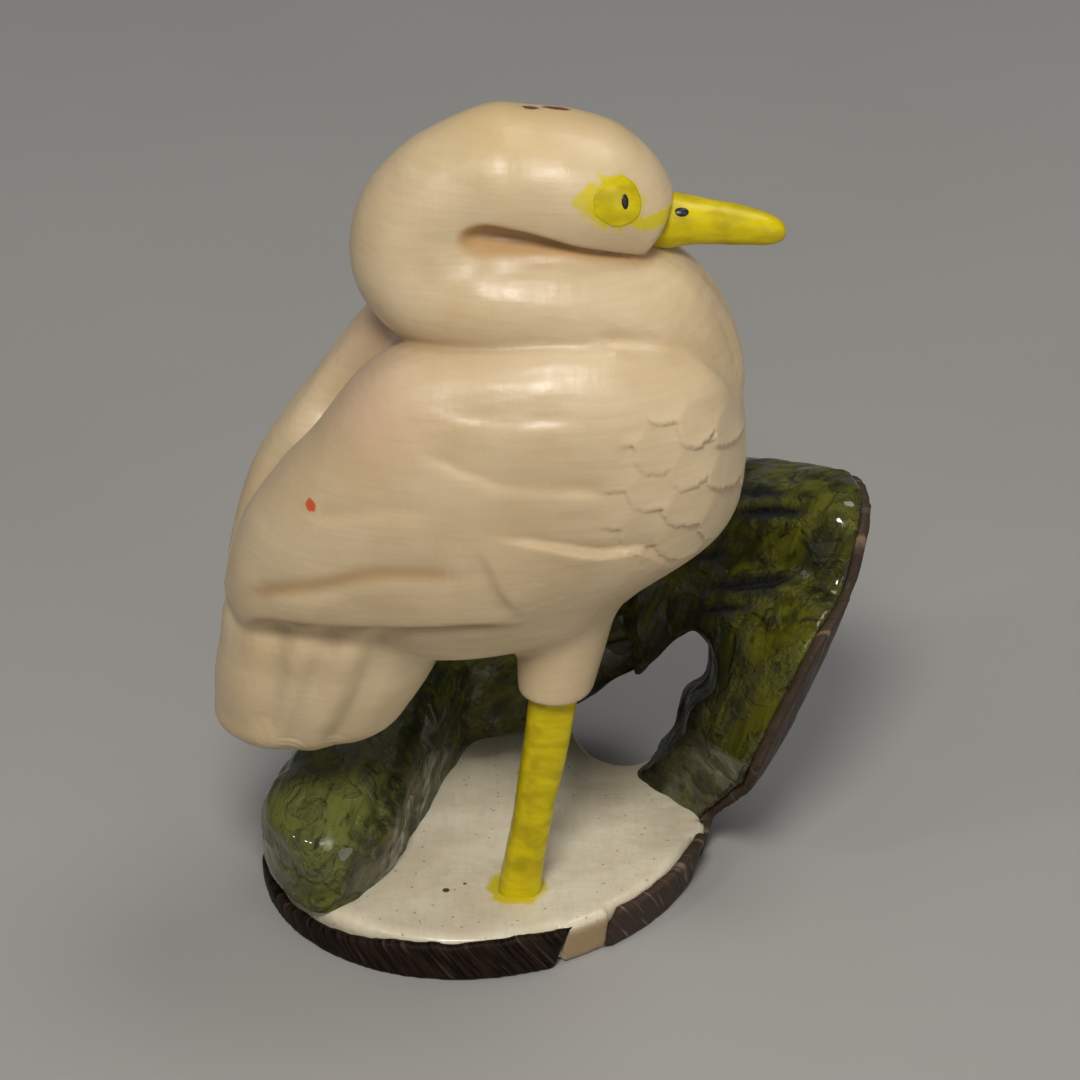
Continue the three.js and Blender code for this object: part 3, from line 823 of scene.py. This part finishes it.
def bird_field(clay, slots):
    body = clay.sweep(central(TORSO), upright_frame)
    for side in (-1, 1):
        body = join(body, clay.sweep(mirrored(WING, side), upright_frame, square=2.3), 1.2)
    body = carve(body, clay.ellipsoid(*BACK_VALLEY), 1.5)
    body = join(body, clay.sweep(central(TAIL), level_frame), 0.5)
    neck = clay.sweep(central(NECK), neck_frame)
    for web in THROAT_WEBS:
        neck = join(neck, clay.ellipsoid(*web), 0.8)
    head = clay.sweep(central(HEAD), upright_frame)
    face = clay.x - FACE_X - FACE_SLANT * (clay.z - FACE_Z) + 0 * clay.y
    head = overlap(head, np.clip(face / math.hypot(1, FACE_SLANT), -BAND, BAND), 0.45)
    neck = join(neck, head, 0.7)
    neck = carve(neck, slots, 0.35)
    body = join(body, neck, 0.5)
    return join(body, clay.peg(*THIGH), 0.9)


def hand_carved(places):
    """Unevenness of the whole carved surface, in millimetres."""
    return 0.10 * noise(places, 7.0, 1) + 0.04 * noise(places, 2.6, 2)


def covert_scales(places):
    """Relief of the overlapping small feathers over the shoulder, each proud at its tip."""
    flat = places[:, [0, 2]]
    away = np.linalg.norm((flat - SCALES_MIDDLE) / SCALES_REACH, axis=1)
    share = np.clip((1.1 - away) / 0.15, 0, 1)
    tip = np.array([math.cos(SCALES_LEAN), math.sin(SCALES_LEAN)])
    wander = 0.55 * noise(places, 2.6, 3)
    along = flat @ tip + wander
    across = flat @ [-tip[1], tip[0]] + 0.6 * wander
    top = np.full(len(places), -1.0)
    first = math.floor(along.min() / SCALE_LENGTH) - 1
    for row in range(first, math.ceil(along.max() / SCALE_LENGTH) + 1):
        inside = (across / SCALE_WIDTH + 0.5 * (row % 2) + 0.5) % 1 - 0.5
        behind = row * SCALE_LENGTH - 1.4 * SCALE_LENGTH * inside**2 - along
        lift = np.exp(-np.maximum(behind, 0) / (0.7 * SCALE_LENGTH))
        top = np.where((behind > 0) & (lift > top), lift, top)
    return 0.27 * share * (top - 0.6) * (1 + 0.6 * noise(places, 2.0, 4))


def bird(finish):
    """The carved body; returns its clay and field, on which the eyes are laid."""
    clay = Clay((-19, -20, 12), (20, 7, 61), 0.2)
    slots = jaw_slots(clay)
    field = bird_field(clay, slots)
    out = np.abs(clay.y - BIRD_Y) - SLOT_END[1]
    away = np.sqrt((clay.x - SLOT_END[0]) ** 2 + out**2 + (clay.z - SLOT_END[2]) ** 2)
    share = np.exp(-((away / 2.2) ** 2)).astype(np.float32)
    field = field + share * (clay.blurred(field, 1.6) - field)  # smooth below the slot's end
    skin = clay.mesh(field)
    places = skin.points.copy()
    soft = clay.blurred(field, 0.75)
    # painted shade: how deep each point lies in a crease, used to darken the creases
    crevice_shade = np.clip(-clay.at(soft, places) / 0.22 - 0.15, 0, 1)
    relief = hand_carved(places)
    on_wing = np.clip((np.abs(places[:, 1] - BIRD_Y) - 1.0) / 1.0, 0, 1)
    edges = np.zeros(len(places))
    tint = np.zeros(len(places))
    for edge in FEATHER_EDGES:
        rise, shade = ledge(places, *edge)
        edges += rise
        tint += shade
    above, _ = Line(WING_LOWER_EDGE).near(places)
    for corners in TAIL_GROOVES:
        edges += np.clip(-above / 0.8, 0, 1) * groove(places, corners, 0.6, 1.0)
    relief += (edges + covert_scales(places)) * on_wing
    skin.raise_by(relief)
    skin.masks["crevice_shade"] = crevice_shade
    skin.masks["edge"] = np.clip(tint * on_wing, 0, 1)
    # painted shade: share for the brown shade inside the jaw slot
    skin.masks["slot"] = np.clip(1 - clay.at(slots, places) / 0.35, 0, 1)
    skin.masks["crown"] = np.clip((places[:, 2] - 56.0) / 2.6, 0, 1)
    back = np.exp(-(((places[:, 0] + 6.5) / 4) ** 2) - (((places[:, 2] - 42) / 3.5) ** 2))
    skin.masks["blush"] = back
    skin.piece("egret_body", finish, ["bird_carving"], "ivory")
    return clay, field


def lens(centre, radii, axis, steps=20, around=32):
    """A low dome lying across an axis, as a skin."""
    axis = unit(np.array(axis, float))
    up = np.array([0.0, 0, 1])
    side = unit(np.cross(up, axis))
    up = np.cross(axis, side)
    tilt = np.linspace(0.02, math.pi - 0.02, steps)
    turn = np.linspace(0, 2 * math.pi, around, endpoint=False)
    rings = (
        np.array(centre)
        + axis * (radii[2] * np.cos(tilt))[:, None, None]
        + side * radii[0] * (np.sin(tilt)[:, None] * np.cos(turn))[..., None]
        + up * radii[1] * (np.sin(tilt)[:, None] * np.sin(turn))[..., None]
    )
    return TriangleSkin(*skin_rings(rings))


def plate(clay, field, centre, away, radii, height):
    """A thin layer of paint that follows the body's surface, inside an oval seen along away."""
    side = unit(np.cross(np.array([0.0, 0, 1]), away))
    up = np.cross(away, side)
    reach = max(radii) + 0.7
    local = Clay(centre - reach, centre + reach, PLATE_VOXEL)
    points = local.points().reshape(-1, 3)
    depth = clay.at(field, points)
    offset = points - centre
    oval = np.hypot(offset @ side / radii[0], offset @ up / radii[1]) - 1
    oval = oval + 0.1 * noise(points, 0.9, 12)
    layer = overlap(depth - height, -depth - 0.25, 0.05)
    body = overlap(layer, oval * min(radii), min(height, 0.2)).reshape(local.shape)
    skin = local.mesh(np.clip(body, -BAND, BAND), relax=1)
    return skin.raise_by(hand_carved(skin.points))


# The bill: x, z, half width, half height.
BILL = [
    [9.5, 51.4, 0.3, 0.3],
    [10.0, 51.4, 1.4, 1.4],
    [11.9, 51.4, 1.8, 1.75],
    [13.2, 51.4, 1.62, 1.6],
    [14.6, 51.3, 1.45, 1.42],
    [17.0, 51.0, 1.2, 1.18],
    [18.5, 50.75, 0.95, 0.92],
    [19.2, 50.65, 0.6, 0.58],
    [19.45, 50.6, 0.1, 0.1],
]
BILL_LINE = [(11.9, 51.0), (15.0, 50.85), (18.6, 50.8)]  # where its halves meet, x and z


def beak(finish):
    skin = TriangleSkin(*sweep(central(BILL), upright_frame, 120, 64))
    places = skin.points
    side = np.clip(np.abs(places[:, 1] - BIRD_Y) / 0.4 - 1, 0, 1)
    line = side * groove(places, BILL_LINE, 0.03, 0.12)
    skin.raise_by(0.05 * noise(places, 1.8, 5) + 0.02 * noise(places, 0.7, 6) + line)
    skin.piece("egret_bill", finish, ["beak"], "yellow_paint")


# The leg, with its stubs in the floor and in the thigh: x, y, z, half sizes in x and y.
LEG_STUBS = FLOOR_Z - 1.0, LEG_TOP_Z + 1.2
LEG = [
    [*LEG_FOOT, LEG_STUBS[0], 0.6, 0.6],
    [*LEG_FOOT, LEG_STUBS[0] + 0.2, 1.3, 1.3],
    [*LEG_FOOT, FLOOR_Z + 0.2, 1.42, 1.35],
    [3.2, -8.9, 6.0, 1.32, 1.3],
    [3.85, -8.9, 10.0, 1.34, 1.32],
    [4.5, -8.9, 14.0, 1.48, 1.4],
    [*LEG_TOP, LEG_TOP_Z, 1.62, 1.5],
    [5.2, -8.9, LEG_STUBS[1] - 0.2, 1.6, 1.5],
    [5.2, -8.9, LEG_STUBS[1], 0.5, 0.5],
]


def leg(finish):
    skin = TriangleSkin(*sweep(LEG, level_frame, 140, 72, square=3.0))
    places = skin.points
    skin.raise_by(0.07 * noise(places / [1, 1, 3], 1.3, 8) + 0.02 * noise(places, 0.5, 9))
    skin.piece("egret_leg", finish, ["leg"], "yellow_paint")


def eyes(clay, field, paint, black):
    for side, name in SIDES:
        centre = np.array([EYE[0], BIRD_Y + side * EYE[1], EYE[2]])
        away = unit(np.array([0.2, side * 1.0, 0.4]))
        disc = plate(clay, field, centre, away, (EYE_RADIUS, EYE_RADIUS), EYE_PROUD)
        disc.piece(f"eye_disc_{name}", paint, [f"eye_{name}"], "yellow_paint")
        spot = centre + np.array([PUPIL_FORWARD, 0, 0])
        pupil = plate(clay, field, spot, away, PUPIL_RADII, PUPIL_PROUD)
        pupil.piece(f"pupil_{name}", black, [], None)


def nostrils(black):
    for side, name in SIDES:
        centre = (NOSTRIL[0], BIRD_Y + side * NOSTRIL[1], NOSTRIL[2])
        spot = lens(centre, NOSTRIL_RADII, (0.1, side * 0.75, 0.65))
        spot.piece(f"nostril_{name}", black, [], None)


# ---- The log, the floor and the seed coat ----------------------------------------------------

# The nut's outline: height, centre x, centre y, half length in x, half width in y.
NUT_SECTIONS = [
    [-0.5, 0.3, 0.0, 14.9, 15.2],
    [0.0, 0.3, 0.0, 15.1, 15.4],
    [3.0, 0.6, 0.3, 15.6, 15.8],
    [4.5, 1.0, 0.4, 16.2, 16.0],
    [6.5, 1.7, 0.6, 17.1, 16.4],
    [8.0, 2.2, 0.6, 17.8, 16.7],
    [11.0, 2.8, 0.7, 18.8, 17.0],
    [16.0, 3.3, 0.8, 20.3, 17.4],
    [21.5, 3.8, 0.8, 21.7, 17.6],
    [27.0, 4.1, 0.8, 22.4, 17.7],
    [33.0, 4.1, 0.8, 22.7, 17.7],
]
NUT_LOPSIDED = 0.056  # share by which the outline is longer along its long axis
NUT_LONG_AXIS = math.radians(47)
# The log: x, y, z, half width, half thickness.
LOG = [
    [-12.2, -12.0, 4.2, 0.5, 0.5],
    [-11.3, -9.8, 4.4, 3.3, 3.3],
    [-10.2, -6.0, 5.3, 4.8, 4.5],
    [-8.5, -1.0, 6.0, 4.4, 4.8],
    [-7.1, 5.0, 6.9, 4.8, 5.2],
    [-3.5, 11.0, 8.2, 4.6, 5.4],
    [4.0, 14.4, 11.0, 4.8, 6.0],
    [11.0, 13.0, 15.4, 5.4, 5.6],
    [17.5, 9.8, 19.4, 5.6, 4.8],
    [23.0, 5.6, 22.2, 4.4, 4.1],
    [26.6, 3.6, 23.0, 3.8, 3.2],
    [29.6, 2.0, 23.8, 0.5, 0.5],
]
REAR = [[x + 0.6, y + 2.5, z - 3.0, *sizes] for x, y, z, *sizes in LOG]
# The lower front of the log, above the hole.
FLANK = [
    [-3.0, 9.5, 5.5, 1.0, 1.0],
    [0.0, 10.5, 6.0, 3.2, 3.2],
    [4.0, 12.0, 8.0, 4.0, 4.0],
    [8.0, 12.2, 10.5, 4.2, 4.0],
    [13.0, 11.5, 14.8, 4.0, 3.6],
    [16.5, 10.5, 17.5, 0.5, 0.5],
]
# The right leg's front face: height, and y where the face meets the nut's surface.
BRANCH_FRONT = [
    (0.0, -0.6),
    (3.0, -1.4),
    (5.0, -3.4),
    (7.0, -6.0),
    (9.0, -8.6),
    (11.0, -10.4),
    (14.0, -10.8),
    (18.0, -9.4),
    (22.0, -6.6),
    (30.0, -2.0),
]
BRANCH_SLANT = 1.15  # how far the face runs back for each millimetre inwards
BRANCH_INNER_X = 10.6
BRANCH_TOP_Z = 21.0
BRANCH_BACK_Y = 11.0
# The upright inner face of the log's left arm: y, and x of the face there.
INNER_WALL = [
    (-20.0, 3.0),
    (-10.5, -4.6),
    (-8.0, -5.6),
    (-3.0, -4.8),
    (2.2, -2.4),
    (6.0, 0.3),
    (8.5, 4.0),
    (10.0, 40.0),
]
INNER_WALL_TOP = 10.0  # above this height the face leans away
# The way that the log's streaks run, as lines of x, y, z: along the log and down its right leg.
LOG_SPINE = [row[:3] for row in LOG[:8]]
LOG_SPINE += [[17.5, 12.0, 19.4], [23.0, 11.0, 22.2], [32.0, 11.0, 24.0]]
BRANCH_SPINE = [[22.0, 3.0, 24.0], [20.0, 3.0, 17.0], [17.0, 2.0, 9.0], [14.0, 1.0, 1.0]]
LOBE = (-10.0, -8.0, 7.0)  # middle of the log's pale lower left end
# Cuts along the log's front, as seen from the camera's height: corners, half width.
COS_VIEW, SIN_VIEW = math.cos(math.radians(30)), math.sin(math.radians(30))
LOG_CUTS = [
    ([(16.0, 24.3), (17.6, 24.5), (19.4, 24.6), (21.6, 24.5)], 0.2),
    ([(16.0, 23.1), (17.4, 23.2), (20.0, 23.3), (23.0, 23.2)], 0.26),
    ([(16.6, 21.5), (17.8, 21.5), (19.2, 21.4)], 0.2),
    ([(13.8, 19.6), (15.3, 20.2), (18.0, 20.4)], 0.3),
    ([(14.6, 17.7), (16.0, 18.2), (19.0, 18.6), (22.2, 19.1)], 0.3),
    ([(13.6, 16.2), (15.0, 16.6), (17.0, 16.8), (18.9, 16.8)], 0.24),
    ([(22.0, 19.6), (22.7, 20.4)], 0.2),
    ([(23.7, 18.7), (24.1, 19.5)], 0.2),
]
# Outline of the pierced hole in the plane y = HOLE_Y, x and z. It slopes down towards the back.
HOLE_Y, HOLE_SLOPE = 8.0, 0.5
HOLE = [
    (6.9, 5.1),
    (9.3, 2.0),
    (11.6, 2.3),
    (13.7, 5.1),
    (14.4, 7.9),
    (15.7, 9.2),
    (15.9, 11.7),
    (14.8, 13.5),
    (13.6, 13.1),
    (11.2, 10.1),
    (8.5, 7.8),
]
# The coat's top edge round the floor: angle in degrees, height.
RIM_TOP = [
    (-180, 1.4),
    (-147, 1.5),
    (-126, 1.9),
    (-115, 2.3),
    (-99, 2.8),
    (-82, 2.95),
    (-63, 2.8),
    (-52, 2.8),
    (-38, 2.9),
    (-21, 3.2),
    (0, 3.4),
    (180, 3.0),
]
# Where the coat lies and where it is worn to the bare nut, in degrees round the nut's axis.
FRONT_COAT, FRONT_BARE = (-172, -67), (-67, -53)
RIGHT_COAT, RIGHT_BARE = (-53, -10), (-10, -3)
BACK_COAT = (-3, 187)
WALL_COAT = (-45, 184)  # on the upright wall
COAT_END_LEAN = 1.5  # degrees that a ragged end of the coat leans for each millimetre of height
BITE = (10.0, 14.2, 3.9, 7.8)  # middle and half sizes of the notch in the floor's back edge


def nut_body():
    angle = np.linspace(0, 2 * math.pi, 96, endpoint=False)
    reach = 1 + NUT_LOPSIDED * np.cos(2 * (angle - NUT_LONG_AXIS))
    east, north = reach * np.cos(angle), reach * np.sin(angle)
    rings = [
        np.stack([x + a * east, y + b * north, 0 * angle + z], 1)
        for z, x, y, a, b in NUT_SECTIONS
    ]
    return skin_rings(np.array(rings))


def outline_distance(x, z, corners):
    """Signed distance from a smooth closed outline, in the plane of x and z."""
    loop, _ = curve([corners[-1], *corners, corners[0], corners[1]], 12 * len(corners) + 24)
    loop = loop[12:-12]
    nearest = np.full(np.broadcast(x, z).shape, np.inf)
    turning = np.zeros(nearest.shape)
    for (ax, az), (bx, bz) in zip(loop, np.roll(loop, -1, axis=0)):
        length = (bx - ax) ** 2 + (bz - az) ** 2
        if length < 1e-12:
            continue
        t = np.clip(((x - ax) * (bx - ax) + (z - az) * (bz - az)) / length, 0, 1)
        nearest = np.minimum(nearest, (x - ax - t * (bx - ax)) ** 2 + (z - az - t * (bz - az)) ** 2)
        cross = (ax - x) * (bz - z) - (az - z) * (bx - x)
        dot = (ax - x) * (bx - x) + (az - z) * (bz - z)
        turning += np.arctan2(cross, dot)
    inside = np.abs(turning) > math.pi
    return np.where(inside, -np.sqrt(nearest), np.sqrt(nearest))


class Ground:
    """Fields that the log, the floor and the coat share."""

    def __init__(self):
        clay = self.clay = Clay((-17, -18, -1), (29, 20, 30), 0.25)
        self.nut = clay.body(*nut_body())
        log = clay.sweep(LOG, log_frame, steps=96, square=2.6)
        log = join(log, clay.sweep(REAR, log_frame, steps=96), 0.8)
        log = join(log, clay.sweep(FLANK, log_frame, steps=60), 1.5)
        wall = clay.x - np.interp(clay.y, *np.array(INNER_WALL).T)
        wall = wall - 3 * np.maximum(clay.z - INNER_WALL_TOP, 0)
        rough = 0.2 * noise(clay.points(), 1.1, 25)
        log = overlap(log, banded(wall + rough), 0.25)
        self.log = join(log, self.branch(), 2.0)
        flat = outline_distance(clay.x[:, :, 0], clay.z[0, :, :], HOLE)
        sunk = clay.z[0] + HOLE_SLOPE * (clay.y[0] - HOLE_Y)
        place = np.clip((sunk - clay.z[0, 0, 0]) / clay.voxel, 0, flat.shape[1] - 1.001)
        below = place.astype(int)
        part = place - below
        slanted = flat[:, below] * (1 - part) + flat[:, below + 1] * part
        self.hole = banded(slanted)
        dx, dy = (clay.x - BITE[0]) / BITE[2], (clay.y - BITE[1]) / BITE[3]
        self.bite = np.clip((np.sqrt(dx * dx + dy * dy) - 1) * BITE[2], -BAND, BAND)
        self.angle = np.degrees(np.arctan2(clay.y, clay.x))

    def branch(self):
        """The right leg: what of the nut lies behind its slanting front face."""
        clay = self.clay
        heights = clay.z[0, 0]
        sections = np.array(NUT_SECTIONS)
        surface_x = np.interp(heights, sections[:, 0], sections[:, 1] + sections[:, 3])
        front_y = np.interp(heights, *np.array(BRANCH_FRONT).T)
        face = front_y + BRANCH_SLANT * (surface_x - clay.x) - clay.y
        face = banded(face / math.hypot(1, BRANCH_SLANT))
        inner = np.clip(BRANCH_INNER_X - clay.x, -BAND, BAND)
        top = np.clip(clay.z - BRANCH_TOP_Z, -BAND, BAND)
        back = np.clip(clay.y - BRANCH_BACK_Y, -BAND, BAND)
        body = overlap(face, inner, 1.0)
        return overlap(overlap(body, top, 2.0), back, 2.0)


def flow(points, spines, steps=60):
    """Where each point lies beside, over and along the nearest spine, in millimetres."""
    nearest = np.full(len(points), np.inf)
    place = np.zeros((len(points), 3))
    for spine in spines:
        middle, slope = curve(np.array(spine), steps)
        tangent = unit(slope)
        side, up = log_frame(tangent)
        run = reached(middle)
        distance = ((points[:, None] - middle[None]) ** 2).sum(2)
        index = distance.argmin(1)
        distance = distance[np.arange(len(points)), index]
        offset = points - middle[index]
        here = np.stack([(offset * way[index]).sum(1) for way in (side, up, tangent)], 1)
        here[:, 2] += run[index]
        closer = distance < nearest
        nearest = np.where(closer, distance, nearest)
        place = np.where(closer[:, None], here, place)
    return place


def log(ground, finish):
    """The log, cut back where the coat covers it, pierced, and cut level over the floor."""
    clay = ground.clay
    points = clay.points()
    rough = (0.25 * noise(points, 3.5, 21) + 0.12 * noise(points, 1.4, 22)).astype(np.float32)
    middle, half = sum(WALL_COAT) / 2, (WALL_COAT[1] - WALL_COAT[0]) / 2
    skinned = np.clip((np.abs(ground.angle - middle) - half) / 6 + 0.5, 0, 1).astype(np.float32)
    under_coat = COAT * 0.9 * (1 - skinned) - 0.05 * skinned
    field = overlap(ground.log + rough, ground.nut + under_coat, 0.4)
    field = carve(field, ground.hole + rough, 0.5)
    field = overlap(field, FLOOR_Z - 0.4 - clay.z, 0.1)
    skin = clay.mesh(field)
    places = skin.points.copy()
    soft = clay.blurred(field, 0.75)
    # painted shade: how deep each point lies in a crease of the log
    skin.masks["crevice_shade"] = np.clip(-clay.at(soft, places) / 0.2 - 0.1, 0, 1) * 0.8
    seen = places.copy()
    seen[:, 2] = places[:, 2] * COS_VIEW + places[:, 1] * SIN_VIEW
    cut = np.zeros(len(places))
    for corners, width in LOG_CUTS:
        cut = np.maximum(cut, -groove(seen, corners, 1.0, 1.3 * width))
    laid = flow(places, (LOG_SPINE, BRANCH_SPINE))
    fibres = noise(laid / (0.7, 0.7, 6.0), 1.0, 24)
    skin.masks["cut"] = np.clip(2.2 * cut, 0, 1)
    skin.masks.update(zip(("lane", "depth", "run"), laid.T))
    normal = skin.normals()
    # painted shade: faces of the left arm that turn towards +x
    left = np.clip((2 - places[:, 0]) / 3, 0, 1)
    skin.masks["side"] = left * np.clip((normal[:, 0] - 0.3) / 0.35, 0, 1)
    skin.masks["lobe"] = np.exp(-(((places - LOBE) / 5.5) ** 2).sum(1))
    # painted shade: share that rises towards the hole's edge, for darkening the log there
    away = ground.clay.at(ground.hole, places) + 0.5 * noise(places, 1.2, 26)
    skin.masks["under"] = np.clip(1 - away / 2.4, 0, 1)
    skin.raise_by(0.04 * noise(places, 0.9, 23) + 0.07 * fibres - 0.3 * cut)
    return skin.piece("olive_log", finish, ["log_arch"], "green_paint")


def floor_slice(ground, finish):
    clay = ground.clay
    points = clay.points()
    wave = (0.08 * noise(points, 4.0, 31) + 0.03 * noise(points, 1.3, 32)).astype(np.float32)
    bare = np.zeros(ground.angle.shape, bool)
    for start, end in (FRONT_BARE, RIGHT_BARE):
        bare |= (ground.angle > start) & (ground.angle < end)
    rim = ground.nut + np.where(bare, WORN, COAT * 0.9).astype(np.float32)
    field = overlap(rim, clay.z - FLOOR_Z + wave, 0.9)
    field = overlap(field, -clay.z, 0.1)
    field = carve(field, ground.bite + 2 * wave, 0.3)
    skin = clay.mesh(field)
    places = skin.points.copy()
    edge = clay.at(ground.nut, places)
    side = np.clip((FLOOR_Z - 0.15 - places[:, 2]) / 0.3, 0, 1)
    skin.masks["tan"] = np.clip((edge + 0.55) / 0.25, 0, 1) * side
    foot = np.hypot(places[:, 0] - LEG_FOOT[0] + 0.2, places[:, 1] - LEG_FOOT[1])
    skin.masks["stain"] = np.clip((2.2 + 0.35 * noise(places, 0.7, 33) - foot) / 0.3, 0, 1)
    return skin.piece("nut_floor", finish, ["stand_floor"], "white_nut")


def coats(ground, finish):
    clay = ground.clay
    points = clay.points()
    rough = (0.12 * noise(points, 1.6, 41) + 0.06 * noise(points, 0.7, 42)).astype(np.float32)
    shell = overlap(ground.nut, -(ground.nut + COAT), 0.15)
    rim_top = np.interp(ground.angle, *np.array(RIM_TOP).T).astype(np.float32)
    rim = overlap(shell, clay.z - rim_top + 1.6 * rough, 0.3)
    rim = overlap(rim, -clay.z, 0.1)
    radius = np.hypot(clay.x, clay.y)

    def wedge(start, end):
        """Distance outside a wedge between two angles, ragged at its sides."""
        middle, half = math.radians((start + end) / 2), math.radians((end - start) / 2)
        leaning = np.radians(ground.angle - COAT_END_LEAN * (clay.z - FLOOR_Z / 2))
        turn = np.abs((leaning - middle + math.pi) % (2 * math.pi) - math.pi)
        return ((turn - half) * radius).astype(np.float32) + 3 * rough

    def piece(name, field, node):
        skin = clay.mesh(field)
        turn = np.degrees(np.arctan2(skin.points[:, 1], skin.points[:, 0]))
        # painted light: share that rises from the coat's front to its right and back part
        skin.masks["worn"] = np.clip((turn + 62) / 12, 0, 1)
        low = np.minimum(skin.points[:, 2], FLOOR_Z)
        skin.masks["lane"] = np.radians(turn) * COAT_RADIUS + 0.8 * low
        skin.masks["depth"] = np.zeros(len(turn))
        skin.masks["run"] = skin.points[:, 2] + 0.2 * skin.masks["lane"]
        skin.raise_by(0.04 * noise(skin.points, 0.8, 43))
        skin.piece(name, finish, [node], "seed_coat")

    piece("coat_front", overlap(rim, wedge(*FRONT_COAT), 0.8), "seed_coat_front")
    piece("coat_right", overlap(rim, wedge(*RIGHT_COAT), 0.8), "seed_coat_right")
    back = overlap(rim, wedge(*BACK_COAT), 0.1)
    wall = overlap(shell, ground.log + 0.3 + rough, 0.2)
    wall = overlap(wall, wedge(*WALL_COAT), 0.1)
    wall = overlap(wall, FLOOR_Z / 2 - clay.z, 0.1)
    wall = carve(join(back, wall, 0.1), ground.hole, 0.2)
    wall = carve(wall, ground.bite, 0.2)
    piece("coat_wall", wall, "seed_coat_wall")


# ---- Stage -----------------------------------------------------------------------------------


def aimed(name, data, place, way):
    """Adds a light or camera that looks along a direction."""
    item = bpy.data.objects.new(name, data)
    item.location = place
    item.rotation_euler = way.to_track_quat("-Z", "Y").to_euler()
    bpy.context.scene.collection.objects.link(item)
    return item


def area_light(name, place, aim, size, power, colour=(1, 1, 1)):
    data = bpy.data.lights.new(name, "AREA")
    data.shape = "ELLIPSE"
    data.size, data.size_y = size
    data.energy = power
    data.color = colour
    aimed(name, data, place, Vector(aim) - Vector(place))


def stage():
    mesh = bpy.data.meshes.new("ground")
    half, back = 1.5, 1.2
    mesh.from_pydata(
        [(-half, -half, 0), (half, -half, 0), (half, back, 0), (-half, back, 0)], [], [(0, 1, 2, 3)]
    )
    item = bpy.data.objects.new("ground", mesh)
    paint = Finish("pale_ground", Roughness=0.7)
    paint.colour = paint.mix(paint.noise(40.0, 3), (0.33, 0.32, 0.30), (0.37, 0.36, 0.34))
    mesh.materials.append(paint.finished())
    bpy.context.scene.collection.objects.link(item)

    world = bpy.data.worlds.new("studio")
    world.use_nodes = True
    world.node_tree.nodes["Background"].inputs[0].default_value = (0.92, 0.94, 1.0, 1)
    world.node_tree.nodes["Background"].inputs[1].default_value = 0.15
    bpy.context.scene.world = world
    aim = (0, 0, 0.03)
    area_light("key", (-0.03, -0.28, 0.36), aim, (0.12, 0.12), 1.2, (1, 0.97, 0.93))
    area_light("spark", (-0.25, -0.20, 0.34), aim, (0.03, 0.03), 0.12)
    area_light("top", (0.16, 0.08, 0.45), aim, (0.22, 0.22), 0.5, (1, 0.98, 0.95))
    area_light("fill", (0.35, -0.35, 0.20), aim, (0.3, 0.3), 0.37, (0.95, 0.97, 1))


CAMERA_DISTANCE = 311.0
CAMERA_HEIGHT_ANGLE = math.radians(30.0)
LOOK_AT = (4.14, 10.695, 18.524)
LENS_MM = 150.2


def camera():
    data = bpy.data.cameras.new("camera")
    data.lens = LENS_MM
    data.sensor_width = 36.0
    data.clip_start, data.clip_end = 0.01, 10.0
    aim = np.array(LOOK_AT) * MM + NUT_TO_ROW
    back = np.array([0, -math.cos(CAMERA_HEIGHT_ANGLE), math.sin(CAMERA_HEIGHT_ANGLE)])
    place = aim + back * CAMERA_DISTANCE * MM
    bpy.context.scene.camera = aimed("camera", data, place, Vector(-back))


bpy.context.scene.view_settings.view_transform = "Standard"
yellow = yellow_finish("yellow_bill")
yellow_leg = yellow_finish("yellow_leg", 0.2)
black = black_finish()
clay, field = bird(ivory_finish())
beak(yellow)
leg(yellow_leg)
eyes(clay, field, yellow, black)
nostrils(black)
ground = Ground()
log(ground, green_finish())
floor_slice(ground, nut_finish())
coats(ground, coat_finish())
stage()
camera()
